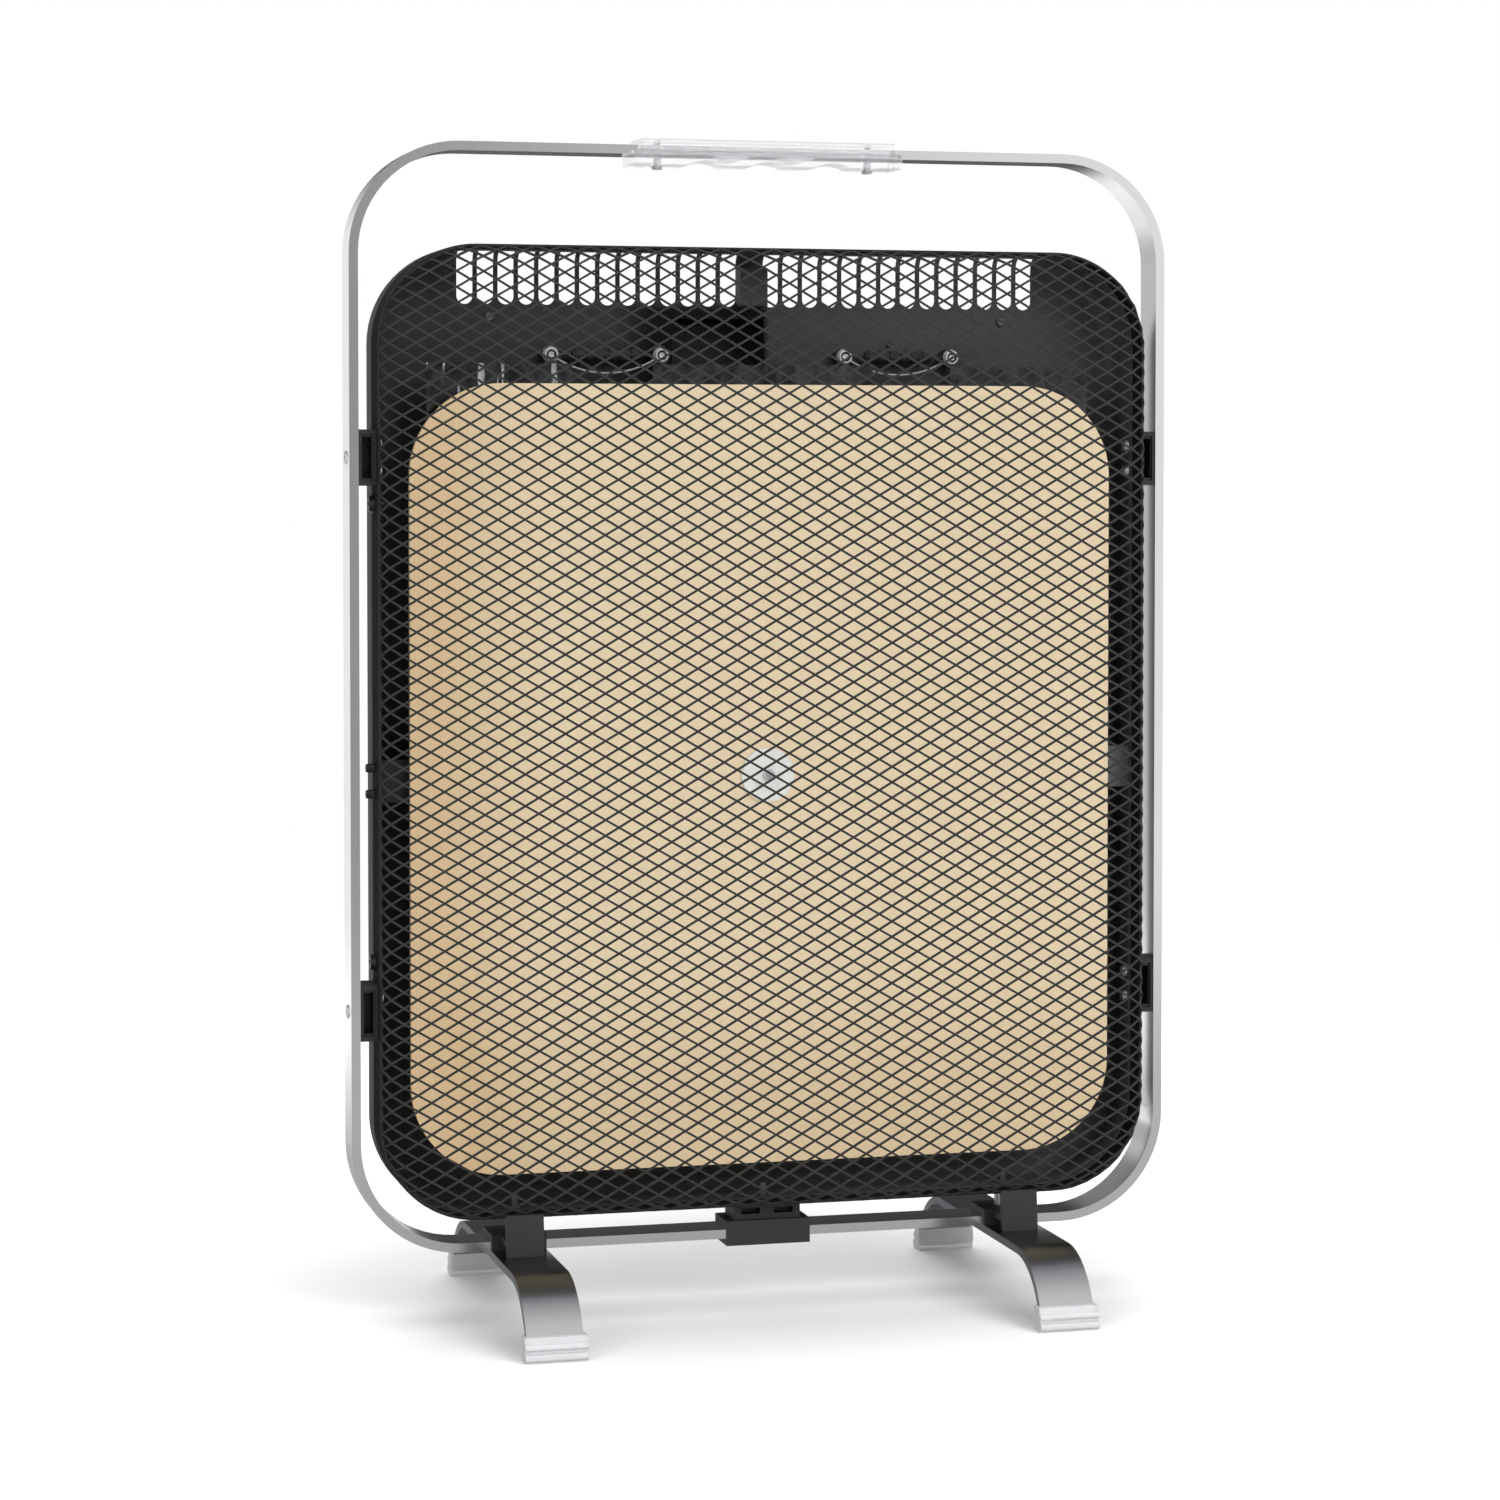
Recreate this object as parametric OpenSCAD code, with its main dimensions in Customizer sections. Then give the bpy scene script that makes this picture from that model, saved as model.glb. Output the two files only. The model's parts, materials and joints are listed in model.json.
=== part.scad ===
// Infrared panel heater standing in an upright flat-bar loop on two arched feet.
// Millimetres. X is the object's width, Y runs from the front to the back, Z is up.
// The origin is the bottom centre of the feet. The front, with the grille, faces -Y.

/* [Stand loop] */
// Gap between the body's side and the loop, filled by the side brackets
side_gap = 9.6; // [8:0.1:14]
// Height of the hand opening between the body and the loop's top run
hand_gap = 50; // [46:1:72]
// Thickness of the flat bar
loop_t = 5; // [4:0.5:5]
// Width of the flat bar from front to back
loop_band = 24; // [20:1:24]
// Outer radius of the loop's corners
loop_r = 60; // [45:1:75]
// Height of the loop's lower face over the floor
loop_z = 38; // [34:1:42]

/* [Body] */
// Outer width of the heater body
body_w = 430.8; // [424:0.2:431]
// Outer height of the heater body
body_h = 523.5; // [518:0.5:524]
// Depth of the heater body
body_d = 60; // [58:1:66]
// Gap between the loop's lower bar and the body
body_gap = 13.5; // [13:0.5:16]
// Radius of the body's corners seen from the front
body_r = 53; // [48:1:60]
// Radius of the rolled edge of the front grille
front_roll = 12; // [9:0.5:13]
// Radius of the rear shell's edge
rear_roll = 8; // [6:0.5:9]
// Thickness of the grille sheet
grille_t = 1; // [0.8:0.1:1.4]
// Thickness of the rear shell
shell_t = 1.2; // [1:0.1:1.6]
// Distance of the grille's rear rim behind the middle of the body
rim_y = 5.7; // [5:0.1:6.5]
// Clearance between the grille's wall and the lip inside it
lip_clear = 0.1; // [0.05:0.05:0.2]
// How far the lip reaches in front of the middle of the body
lip_reach = 4; // [3.5:0.5:6]

/* [Expanded grille] */
// Width of one diamond of the working model's grille
diamond_w = 43.8; // [40:0.2:50]
// Height of one diamond of the working model's grille
diamond_h = 25.5; // [24:0.5:30]
// Width of the strands between the diamonds
strand = 3; // [2.4:0.1:4]

/* [Vents] */
// Number of warm-air slots in each half of the rear shell
vent_count = 14; // [8:1:14]
// Distance from slot to slot
vent_pitch = 11.4; // [11:0.1:11.6]
// Width of a slot
vent_w = 9; // [7:0.5:9]
// Middle of the first slot from the middle of the body
vent_first = 12.2; // [12:0.1:13]
// Depth of the slots' lower ends below the body's top
vent_drop = 30; // [26:1:34]
// Number of inlet slots low in each half of the rear shell
inlet_count = 8; // [4:1:10]
// Length of an inlet slot
inlet_len = 34; // [20:1:50]
// Height of the inlet slots' lower ends over the body's bottom
inlet_rise = 35.5; // [24:0.5:64]

/* [Heating plate] */
// Width of the tan front plate
plate_w = 395.4; // [380:0.2:400]
// Height of the tan front plate
plate_h = 427; // [400:1:440]
// Height of the plate's lower edge over the body's bottom
plate_rise = 22.5; // [20:0.5:26]
// Radius of the plate's corners
plate_r = 50; // [30:1:60]
// Distance of the plate's face in front of the middle of the body
plate_y = 11; // [9:0.5:14]
// Thickness of each insulating sheet
plate_t = 1.5; // [1:0.1:2]
// Thickness of the heating foil
foil_t = 0.4; // [0.3:0.1:0.6]
// Number of upright runs of the heating foil
foil_runs = 16; // [10:2:20]
// Width of the foil's track
foil_w = 12; // [8:1:14]
// Outer diameter of the centre washer
washer_d = 29.5; // [26:0.5:34]

/* [Inner structure] */
// Width of the reflector sheet
reflector_w = 374; // [360:1:390]
// Height of the reflector sheet
reflector_h = 397.5; // [380:0.5:420]
// Thickness of the reflector sheet
reflector_t = 0.8; // [0.6:0.1:1.2]
// Gap between the heating plate and the reflector
plate_gap = 4.7; // [4:0.1:6]
// Height of the cross-bar
bar_h = 23; // [20:0.5:26]
// Depth of the cross-bar's flanges
bar_d = 9; // [7:0.5:10]
// Thickness of the cross-bar's sheet
bar_t = 1.2; // [1:0.1:2]
// Spacing of the two screws in each end of the cross-bar
bar_screw_gap = 14; // [12:0.5:15]
// Width of the stiffener between the vent groups
stiffener_w = 15.5; // [12:0.5:15.5]
// Depth of the stiffener
stiffener_d = 10.8; // [8:0.2:12]

/* [Fuse links] */
// Middle of a fuse link from the middle of the body
fuse_x = 83.5; // [80:0.5:90]
// Spacing of the two terminal screws of a link
fuse_span = 62; // [56:0.5:66]
// Depth of the links below the body's top
fuse_drop = 57.5; // [54:0.5:62]
// Length of the ribbed sleeve
sleeve_len = 38; // [30:1:42]
// Diameter of the ribbed sleeve
sleeve_d = 7; // [6:0.5:8]
// Diameter of the terminal screws' heads
terminal_head_d = 9; // [8:0.5:10]
// Diameter of the terminal screws' shanks
terminal_d = 2.6; // [2.4:0.1:3]
// Diameter of the insulated leads to the heating foil
lead_d = 3; // [2.4:0.1:3.4]
// Depth of the leads' entry into the plate below its top edge
lead_drop = 60; // [50:1:80]

/* [Brackets] */
// Height of a side bracket
bracket_h = 30; // [26:1:34]
// Depth of a side bracket
bracket_d = 22; // [18:1:24]
// Middle of the upper side brackets below the body's top
bracket_drop = 114; // [100:1:130]
// Middle of the lower side brackets above the body's bottom
bracket_rise = 112.5; // [96:0.5:124]
// Spacing of the two screws that hold a side bracket to the body
bracket_screw_gap = 14; // [12:0.5:16]
// Width of the clip under the middle of the body
clip_w = 47.3; // [42:0.1:52]
// Thickness of the clip round the bar
clip_wrap = 4; // [3:0.5:5]
// Width of the clip's neck
neck_w = 37.5; // [32:0.5:40]
// Width of the saddle over a foot
saddle_w = 30; // [28:1:34]
// Width of the upright in front of a saddle
upright_w = 20.5; // [16:0.5:24]
// Thickness of the saddle over the bar
saddle_t = 4; // [3:0.5:5]
// Thickness of the upright
upright_t = 3; // [2.4:0.1:3.6]
// Reach of the upright above the body's bottom
upright_rise = 3.5; // [3:0.1:5]
// Gap between the upright's tip and the body's rolled edge
upright_gap = 0.4; // [0.3:0.1:0.8]

/* [Feet] */
// Distance of each foot from the middle of the object
foot_x = 139.5; // [125:0.5:150]
// Width of the foot's strip
foot_w = 30; // [26:1:34]
// Thickness of the foot's strip
foot_t = 4.2; // [3.8:0.1:4.6]
// Reach of the flat stretch of the strip
foot_flat = 69; // [64:1:72]
// Radius of the bend along the middle of the strip
foot_bend_r = 42; // [40:0.5:43]
// Angle of the bend
foot_bend_a = 77.5; // [76:0.5:78.5]
// Height of the clear cap on the end of a strip
cap_h = 13; // [11:0.5:15]
// Wall of the clear cap beside the strip
cap_wall = 1.6; // [1.2:0.1:2.4]
// Reach of the cap behind and in front of the strip's end
cap_reach = 6; // [5.5:0.1:7]
// Diameter of the cap's lower ridge
cap_ridge_d = 4; // [3:0.1:5]
// Diameter of the spacers between the saddles and the body
spacer_d = 9; // [8:0.5:11]

/* [Grip] */
// Half length of the upper half of the grip
grip_upper_x = 71.5; // [66:0.5:72]
// Half length of the lower half of the grip
grip_lower_x = 75.2; // [73:0.1:80]
// Depth of the grip
grip_d = 32; // [30:1:36]
// Thickness of the grip over the bar
grip_top = 3.3; // [2.6:0.1:4]
// Thickness of the grip under the bar
grip_under = 5.5; // [5:0.1:6]
// Spacing of the finger waves
wave_pitch = 36; // [35:0.5:37]
// Depth of the finger waves
wave_depth = 2.5; // [2:0.1:2.6]
// Distance of the grip's screws from its middle
grip_screw_x = 59.5; // [58:0.5:62]
// Radius of the grip's upper shoulders
grip_shoulder_r = 2.2; // [1.4:0.1:2.2]

/* [Control box] */
// Width of the control box
box_w = 150; // [140:1:160]
// Height of the control box
box_h = 106; // [104:1:107]
// Depth of the control box behind the shell
box_d = 36; // [34:1:40]
// Wall of the control box
box_t = 2.4; // [2:0.1:3]
// Radius of the control box's rear edge
box_roll = 6; // [5:0.5:8]
// Radius of the control box's corners
box_r = 12; // [10:1:16]
// Sideways place of the thermostat's dial
dial_x = -38; // [-40:1:-34]
// Diameter of the dial's grip
dial_d = 34; // [30:1:38]
// Height of the dial
dial_h = 15; // [12:1:18]
// Diameter of the thermostat's shaft
shaft_d = 6; // [5:0.5:7]
// Running clearance round the shaft and the rockers' pins
run_clear = 0.06; // [0.03:0.01:0.1]
// Sideways place of the two rocker switches
rocker_x = 34; // [30:1:40]
// Spacing of the two rocker switches
rocker_gap = 34; // [30:1:36]
// Width of a rocker
rocker_w = 14; // [12:0.5:16]
// Height of a rocker
rocker_h = 19; // [17:0.5:20]
// Diameter of a rocker's pins
rocker_pin_d = 3; // [2.5:0.1:3.4]
// Outer diameter of the cord inlet
gland_d = 17; // [15:0.5:19]
// Bore of the cord inlet
gland_bore = 8; // [7:0.5:9]
// Width of the tip-over switch
tip_w = 24; // [20:1:28]
// Depth of the tip-over switch
tip_d = 14; // [12:1:16]
// Height of the tip-over switch
tip_h = 18; // [16:1:22]

/* [Fasteners] */
// Diameter of the small screws
screw_d = 3.5; // [3:0.1:4]
// Diameter of the small screws' heads
head_d = 7; // [6.4:0.1:7.6]
// Height of the small screws' heads
head_h = 2.3; // [2:0.1:2.6]
// Diameter of the upright screws through the bar
bolt_d = 5; // [4:0.5:6]
// Reach of the upright screws above the body's bottom
bolt_reach = 9.5; // [8:0.5:12]
// Diameter of the upright screws' heads
bolt_head_d = 9.4; // [8:0.2:10]
// Height of the upright screws' heads
bolt_head_h = 2; // [1.6:0.1:2.6]
// Diameter of the low heads of the screws through the loop
frame_head_d = 8; // [7:0.5:10]
// Height of the low heads of the screws through the loop
frame_head_h = 0.8; // [0.6:0.1:1.6]
// Spacing of the side screws that join the grille and the shell
side_screw_span = 246.2; // [230:0.2:260]
// Clearance of a screw in a through hole
hole_clear = 0.3; // [0.2:0.1:0.5]
// Clearance round a piece that is seated in a hole
seat_clear = 0.05; // [0.02:0.01:0.1]

/* [Hidden] */
$fn = 64;
eps = 0.01;

body_half = body_w / 2;
body_back = body_d / 2;
body_in_x = body_half - grille_t - lip_clear - shell_t;
loop_in_x = body_half + side_gap;
loop_w = 2 * (loop_in_x + loop_t);
bar_top_z = loop_z + loop_t;
body_z = bar_top_z + body_gap;
body_mid_z = body_z + body_h / 2;
body_top_z = body_z + body_h;
run_under_z = body_top_z + hand_gap;
run_top_z = run_under_z + loop_t;
loop_h = run_top_z - loop_z;
bracket_low_z = body_z + bracket_rise;
bracket_high_z = body_top_z - bracket_drop;
vent_z = body_top_z - vent_drop;
inlet_z = body_z + inlet_rise;
hole_d = screw_d + 2 * hole_clear;
bolt_hole_d = bolt_d + 2 * hole_clear;

plate_z = body_z + plate_rise + plate_h / 2;
plate_top_z = plate_z + plate_h / 2;
stack_t = 2 * plate_t + foil_t;
foil_pitch = (plate_w - 2 * plate_r) / foil_runs;
foil_end_x = foil_pitch * (foil_runs - 1) / 2;
reflector_y = -plate_y + stack_t + plate_gap;
bar_y = reflector_y + reflector_t;
bar_z = plate_z;
bar_screw_y = 1.6;
bar_head_d = 5.6;
bar_head_h = 4.3;

side_screw_zs = [body_mid_z - side_screw_span / 2, body_mid_z + side_screw_span / 2];
side_screw_y = 1.6;
side_head_d = 10;
side_head_h = 2.5;

fuse_y = body_back - 10;
fuse_z = body_top_z - fuse_drop;
fuse_post_d = 10;
ring_d = 8.6;
ring_t = 0.8;
link_tail_d = 2 * ring_t - 0.1;
wire_d = 1.6;
wire_sag = 10;
lead_x = foil_end_x;
lead_y = body_back - shell_t - lead_d / 2 - 2.5;
lead_z = plate_top_z - lead_drop;
lead_hole_d = lead_d + 0.4;
opening_x0 = -44;
opening_x1 = 8;
opening_z0 = body_top_z - 74;
opening_z1 = body_top_z - 36;
rivet_x = 147;
rivet_z = body_top_z - 36.8;
rivet_d = 3.4;
rivet_head_d = 6.4;

box_mid_z = vent_z - 4 - box_h / 2;
box_back = body_back + box_d;
ear_w = 13;
ear_t = 3;
ear_z = box_h / 2 - 16;
rocker_mid_z = box_mid_z - 4;
rocker_tilt = 8;
switch_wall = 1.8;
switch_depth = 18;
bezel_t = 1.6;
rocker_clear = 0.5;
dial_z = box_mid_z + 2;
dial_gap = 0.6;
neck_d = 10;
lamp_d = 7;
lamp_x = rocker_x;
lamp_z = box_mid_z + box_h / 2 - 14;
gland_x = 46;
gland_y = body_back + box_d / 2;
gland_out = 11;
gland_neck_d = gland_d - 4;
box_floor_z = box_mid_z - box_h / 2;

// Solid drawn in the XZ plane, from y0 to y1
module slab(y0, y1) {
    translate([0, y1, 0]) rotate([90, 0, 0]) linear_extrude(y1 - y0) children();
}

// Profile drawn with its x along Y and its y along Z, from x0 to x1
module beam(x0, x1) {
    translate([x0, 0, 0]) rotate([90, 0, 90]) linear_extrude(x1 - x0) children();
}

// Rectangle with true arcs at its corners
module round_rect(w, h, r) {
    square([w - 2 * r, h], center = true);
    square([w, h - 2 * r], center = true);
    for (sx = [-1, 1], sz = [-1, 1]) {
        translate([sx * (w / 2 - r), sz * (h / 2 - r)]) circle(r);
    }
}

// Sweeps a profile round a rectangle with arc corners, profile x measured from the corner's middle
module rim(w, h, r) {
    corner_x = w / 2 - r;
    corner_z = h / 2 - r;
    for (i = [0 : 3]) {
        sx = (i == 0 || i == 3) ? 1 : -1;
        sz = (i < 2) ? 1 : -1;
        translate([sx * corner_x, 0, sz * corner_z])
            rotate([90, 0, 0]) rotate([0, 0, 90 * i]) rotate_extrude(angle = 90) mirror([0, 1]) children();
    }
    for (turn = [0, 180]) {
        rotate([0, turn, 0]) translate([corner_x, 0, -corner_z]) linear_extrude(2 * corner_z) children();
        rotate([0, turn + 90, 0]) translate([corner_z, 0, -corner_x]) linear_extrude(2 * corner_x) children();
    }
}

// Straight round bar from p to q
module rod(p, q, d) {
    v = q - p;
    len = norm(v);
    translate(p) rotate([0, acos(v[2] / len), atan2(v[1], v[0])]) cylinder(h = len, d = d);
}

// Screw along +X with its head's seat at x = 0 and its shank running towards -X
module screw_x(d, len, hd, hh) {
    rotate([0, -90, 0]) cylinder(h = len, d = d);
    rotate([0, 90, 0]) difference() {
        cylinder(h = hh, d1 = hd, d2 = hd * 0.78);
        translate([0, 0, hh * 0.45]) linear_extrude(hh) {
            square([hd * 0.5, hd * 0.14], center = true);
            square([hd * 0.14, hd * 0.5], center = true);
        }
    }
}

module hole_x(x0, x1, y, z, d) {
    translate([x0, y, z]) rotate([0, 90, 0]) cylinder(h = x1 - x0, d = d);
}

module hole_y(x, z, y0, y1, d) {
    translate([x, y0, z]) rotate([-90, 0, 0]) cylinder(h = y1 - y0, d = d);
}

// Stand

module frame_loop() {
    mid_z = loop_z + loop_h / 2;
    color([0.86, 0.86, 0.85]) difference() {
        translate([0, 0, mid_z]) slab(-loop_band / 2, loop_band / 2) difference() {
            round_rect(loop_w, loop_h, loop_r);
            round_rect(loop_w - 2 * loop_t, loop_h - 2 * loop_t, loop_r - loop_t);
        }
        for (s = [-1, 1], z = [bracket_low_z, bracket_high_z]) {
            translate([s * (loop_w / 2 - loop_t / 2), 0, z]) rotate([0, 90, 0])
                cylinder(h = loop_t * 2, d = hole_d, center = true);
        }
        for (x = [-foot_x, 0, foot_x]) {
            translate([x, 0, loop_z - loop_t]) cylinder(h = 3 * loop_t, d = bolt_hole_d);
        }
        for (s = [-1, 1]) {
            translate([s * grip_screw_x, 0, run_under_z - loop_t]) cylinder(h = 3 * loop_t, d = hole_d);
        }
    }
}

module grip_upper() {
    lip_z = run_under_z + loop_t / 2;
    collar = 2;
    color([0.9, 0.91, 0.93, 0.5]) difference() {
        beam(-grip_upper_x, grip_upper_x) difference() {
            translate([0, lip_z]) grip_outline(run_top_z + grip_top - lip_z);
            translate([-loop_band / 2, lip_z - loop_t]) square([loop_band, loop_t * 1.5]);
        }
        for (s = [-1, 1]) {
            translate([s * grip_screw_x, 0, run_top_z - eps]) cylinder(h = grip_top - 1, d = screw_d);
        }
        for (s = [-1, 1]) {
            translate([s * (grip_upper_x - 2 * collar), 0, run_top_z + grip_top])
                cube([collar * 0.6, grip_d * 0.8, 1], center = true);
        }
    }
}

// Section of the upper grip with round shoulders, standing on its lower edge
module grip_outline(h) {
    r = grip_shoulder_r;
    translate([-grip_d / 2, 0]) square([grip_d, h - r]);
    translate([-grip_d / 2 + r, 0]) square([grip_d - 2 * r, h]);
    for (s = [-1, 1]) translate([s * (grip_d / 2 - r), h - r]) circle(r);
}

module grip_lower() {
    under_z = run_under_z - grip_under;
    lip_z = run_under_z + loop_t / 2;
    wave_r = (wave_pitch * wave_pitch / 16 + wave_depth * wave_depth) / (2 * wave_depth);
    color([0.88, 0.89, 0.92, 0.5]) difference() {
        translate([-grip_lower_x, -grip_d / 2, under_z])
            cube([2 * grip_lower_x, grip_d, lip_z - under_z]);
        translate([-grip_lower_x - 1, -loop_band / 2, run_under_z])
            cube([2 * grip_lower_x + 2, loop_band, loop_t]);
        for (i = [-1 : 1]) {
            translate([i * wave_pitch, 0, under_z - wave_r + wave_depth]) rotate([90, 0, 0])
                cylinder(h = 2 * grip_d, r = wave_r, center = true);
        }
        for (i = [-1, 1]) {
            translate([i * wave_pitch / 2, 0, run_under_z + wave_r - wave_depth]) rotate([90, 0, 0])
                intersection() {
                    cylinder(h = loop_band, r = wave_r, center = true);
                    translate([0, -wave_r, 0]) cube([2 * wave_r, 2 * wave_depth, loop_band], center = true);
                }
        }
        for (s = [-1, 1]) {
            translate([s * grip_screw_x, 0, under_z - 1]) cylinder(h = grip_under + 2, d = hole_d);
            for (k = [1 : 4]) {
                translate([s * (grip_screw_x + 3.2 + 2.8 * k), 0, under_z])
                    cube([1, grip_d * 2, 2], center = true);
            }
        }
    }
}

module grip_screws() {
    under_z = run_under_z - grip_under;
    color([0.12, 0.12, 0.13]) for (s = [-1, 1]) {
        translate([s * grip_screw_x, 0, under_z]) rotate([0, 90, 0])
            screw_x(screw_d, grip_under + loop_t + grip_top - 1.2, head_d, 1.8);
    }
}

// Block between the loop and the body, pocketed from the front
module side_bracket(side, z) {
    wall = 2.2;
    color([0.15, 0.15, 0.16]) difference() {
        translate([side * (body_half + side_gap / 2), 0, z])
            cube([side_gap, bracket_d, bracket_h], center = true);
        translate([side * (body_half + side_gap / 2), -bracket_d / 2 + 6, z])
            cube([side_gap - 2 * wall, 12 + 1, bracket_h - 2 * 4], center = true);
        translate([side * (body_half + side_gap / 2), -bracket_d / 2, z])
            cube([side_gap - 2 * wall + 1.4, 3, bracket_h - 2 * 4 + 3], center = true);
        hole_x(side * loop_in_x - 3, side * loop_in_x + 3, 0, z, screw_d);
        for (k = [-0.5, 0.5]) {
            hole_x(side * body_half - 3, side * body_half + 3, side_screw_y, z + k * bracket_screw_gap, screw_d);
        }
    }
}

module side_bracket_left_high() { side_bracket(-1, bracket_high_z); }
module side_bracket_left_low() { side_bracket(-1, bracket_low_z); }
module side_bracket_right_high() { side_bracket(1, bracket_high_z); }
module side_bracket_right_low() { side_bracket(1, bracket_low_z); }

module frame_screws() {
    color([0.72, 0.72, 0.72]) for (s = [-1, 1], z = [bracket_low_z, bracket_high_z]) {
        translate([s * loop_w / 2, 0, z]) rotate([0, 0, s > 0 ? 0 : 180])
            screw_x(screw_d, loop_t + 2.1, frame_head_d, frame_head_h);
    }
}

module bracket_screws() {
    len = body_half - body_in_x + 2.1;
    color([0.6, 0.6, 0.6]) for (s = [-1, 1], z = [bracket_low_z, bracket_high_z], k = [-0.5, 0.5]) {
        translate([s * body_in_x, side_screw_y, z + k * bracket_screw_gap])
            rotate([0, 0, s > 0 ? 180 : 0]) screw_x(screw_d, len, head_d, head_h);
    }
}

module centre_clip() {
    depth = loop_band + 2;
    neck_d = 20;
    slot_w = neck_w / 2 - 8;
    slot_z = body_z - 4.3;
    color([0.14, 0.14, 0.15]) difference() {
        union() {
            translate([-clip_w / 2, -depth / 2, loop_z - clip_wrap])
                cube([clip_w, depth, loop_t + 2 * clip_wrap + 0.5]);
            translate([-neck_w / 2, -neck_d / 2, bar_top_z]) cube([neck_w, neck_d, body_gap]);
        }
        translate([-clip_w, -loop_band / 2, loop_z]) cube([2 * clip_w, loop_band, loop_t]);
        for (s = [-1, 1]) {
            translate([s * neck_w / 4, -neck_d / 2, slot_z]) cube([slot_w, 12, 3.4], center = true);
        }
        translate([0, 0, loop_z - clip_wrap - 1])
            cylinder(h = loop_t + 2 * clip_wrap + body_gap, d = bolt_hole_d);
    }
}

// Saddle over the lower bar with an upright that backs the body's rolled edge
module foot_bracket(side) {
    front_y = -loop_band / 2 - 2;
    roll_back = front_roll - sqrt(front_roll * front_roll - pow(front_roll - upright_rise, 2));
    head_y = -body_back + roll_back - upright_gap;
    head_z = body_z + upright_rise;
    foot_y = head_y - 2.1;
    color([0.13, 0.13, 0.14]) difference() {
        translate([side * foot_x, 0, 0]) union() {
            beam(-saddle_w / 2, saddle_w / 2) polygon([
                [front_y, loop_z], [-loop_band / 2, loop_z], [-loop_band / 2, bar_top_z],
                [loop_band / 2, bar_top_z], [loop_band / 2, bar_top_z + saddle_t],
                [front_y, bar_top_z + saddle_t]
            ]);
            beam(-upright_w / 2, upright_w / 2) polygon([
                [foot_y - upright_t, loop_z], [foot_y, loop_z], [foot_y + 0.6, bar_top_z],
                [front_y + eps, bar_top_z], [front_y + eps, bar_top_z + saddle_t],
                [foot_y + 1, bar_top_z + saddle_t], [head_y, head_z], [head_y - upright_t, head_z]
            ]);
        }
        translate([side * foot_x, 0, bar_top_z - 1]) cylinder(h = saddle_t + 2, d = bolt_hole_d);
    }
}

module foot_bracket_left() { foot_bracket(-1); }
module foot_bracket_right() { foot_bracket(1); }

module foot_spacers() {
    spacer_z = bar_top_z + saddle_t;
    color([0.7, 0.7, 0.7]) for (s = [-1, 1]) {
        translate([s * foot_x, 0, spacer_z]) difference() {
            cylinder(h = body_z - spacer_z, d = spacer_d);
            translate([0, 0, -1]) cylinder(h = body_z, d = bolt_hole_d);
        }
    }
}

module upright_bolts() {
    tip_z = body_z + bolt_reach;
    color([0.78, 0.78, 0.78]) for (x = [-foot_x, 0, foot_x]) {
        seat_z = loop_z - (x == 0 ? clip_wrap : foot_t);
        translate([x, 0, seat_z]) rotate([0, 90, 0]) screw_x(bolt_d, tip_z - seat_z, bolt_head_d, bolt_head_h);
    }
}

// Side view of a foot's arched strip, its x along Y and its y along Z
module strip_side() {
    mid_z = loop_z - foot_t / 2;
    far = 2 * foot_bend_r;
    translate([0, mid_z]) square([2 * foot_flat, foot_t], center = true);
    for (s = [0, 1]) {
        mirror([s, 0]) translate([foot_flat, mid_z - foot_bend_r]) {
            intersection() {
                difference() {
                    circle(foot_bend_r + foot_t / 2, $fn = 96);
                    circle(foot_bend_r - foot_t / 2, $fn = 96);
                }
                polygon([[0, 0], [0, far], [far, far], [far * sin(foot_bend_a), far * cos(foot_bend_a)]]);
            }
        }
    }
}

module foot_strip(side) {
    color([0.75, 0.75, 0.74]) difference() {
        translate([side * foot_x, 0, 0]) beam(-foot_w / 2, foot_w / 2) strip_side();
        translate([side * foot_x, 0, loop_z - 2 * foot_t]) cylinder(h = 3 * foot_t, d = bolt_hole_d);
    }
}

module foot_strip_left() { foot_strip(-1); }
module foot_strip_right() { foot_strip(1); }

// Side view of a cap, a tapered block with two round ridges on its outer face
module cap_side() {
    tip_y = foot_flat + foot_bend_r * sin(foot_bend_a);
    outer_y = tip_y + cap_reach - cap_ridge_d / 2;
    upper_d = cap_ridge_d * 0.8;
    polygon([
        [tip_y - cap_reach + 0.6, 0], [outer_y, 0], [tip_y + cap_reach * 0.4, cap_h],
        [tip_y - cap_reach + 0.4, cap_h], [tip_y - cap_reach - 1.2, cap_h / 2]
    ]);
    translate([outer_y, cap_ridge_d * 0.75]) circle(d = cap_ridge_d);
    translate([outer_y - 0.5, cap_h * 0.62]) circle(d = upper_d);
}

// Clear ridged cap on the end of a strip
module foot_cap(side, back) {
    cap_w = foot_w + 2 * cap_wall;
    color([0.85, 0.86, 0.9, 0.6]) difference() {
        mirror([0, back > 0 ? 0 : 1, 0]) translate([side * foot_x, 0, 0])
            beam(-cap_w / 2, cap_w / 2) cap_side();
        translate([side * foot_x, 0, 0]) beam(-foot_w / 2, foot_w / 2) strip_side();
    }
}

module foot_cap_front_left() { foot_cap(-1, -1); }
module foot_cap_front_right() { foot_cap(1, -1); }
module foot_cap_rear_left() { foot_cap(-1, 1); }
module foot_cap_rear_right() { foot_cap(1, 1); }

// Body

// Section of the grille's rolled edge and wall, x from the corner's middle, y along the depth
module grille_section() {
    difference() {
        translate([body_r - front_roll, -body_back + front_roll]) circle(front_roll);
        translate([body_r - front_roll, -body_back + front_roll]) circle(front_roll - grille_t);
        translate([body_r - 3 * front_roll, -body_back - 1]) square([2 * front_roll, 3 * front_roll]);
        translate([0, -body_back + front_roll]) square([body_r + 1, 3 * front_roll]);
    }
    translate([body_r - grille_t, -body_back + front_roll])
        square([grille_t, body_back - front_roll + rim_y]);
}

module diamond(w, h) {
    polygon([[-w / 2, 0], [0, -h / 2], [w / 2, 0], [0, h / 2]]);
}

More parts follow.
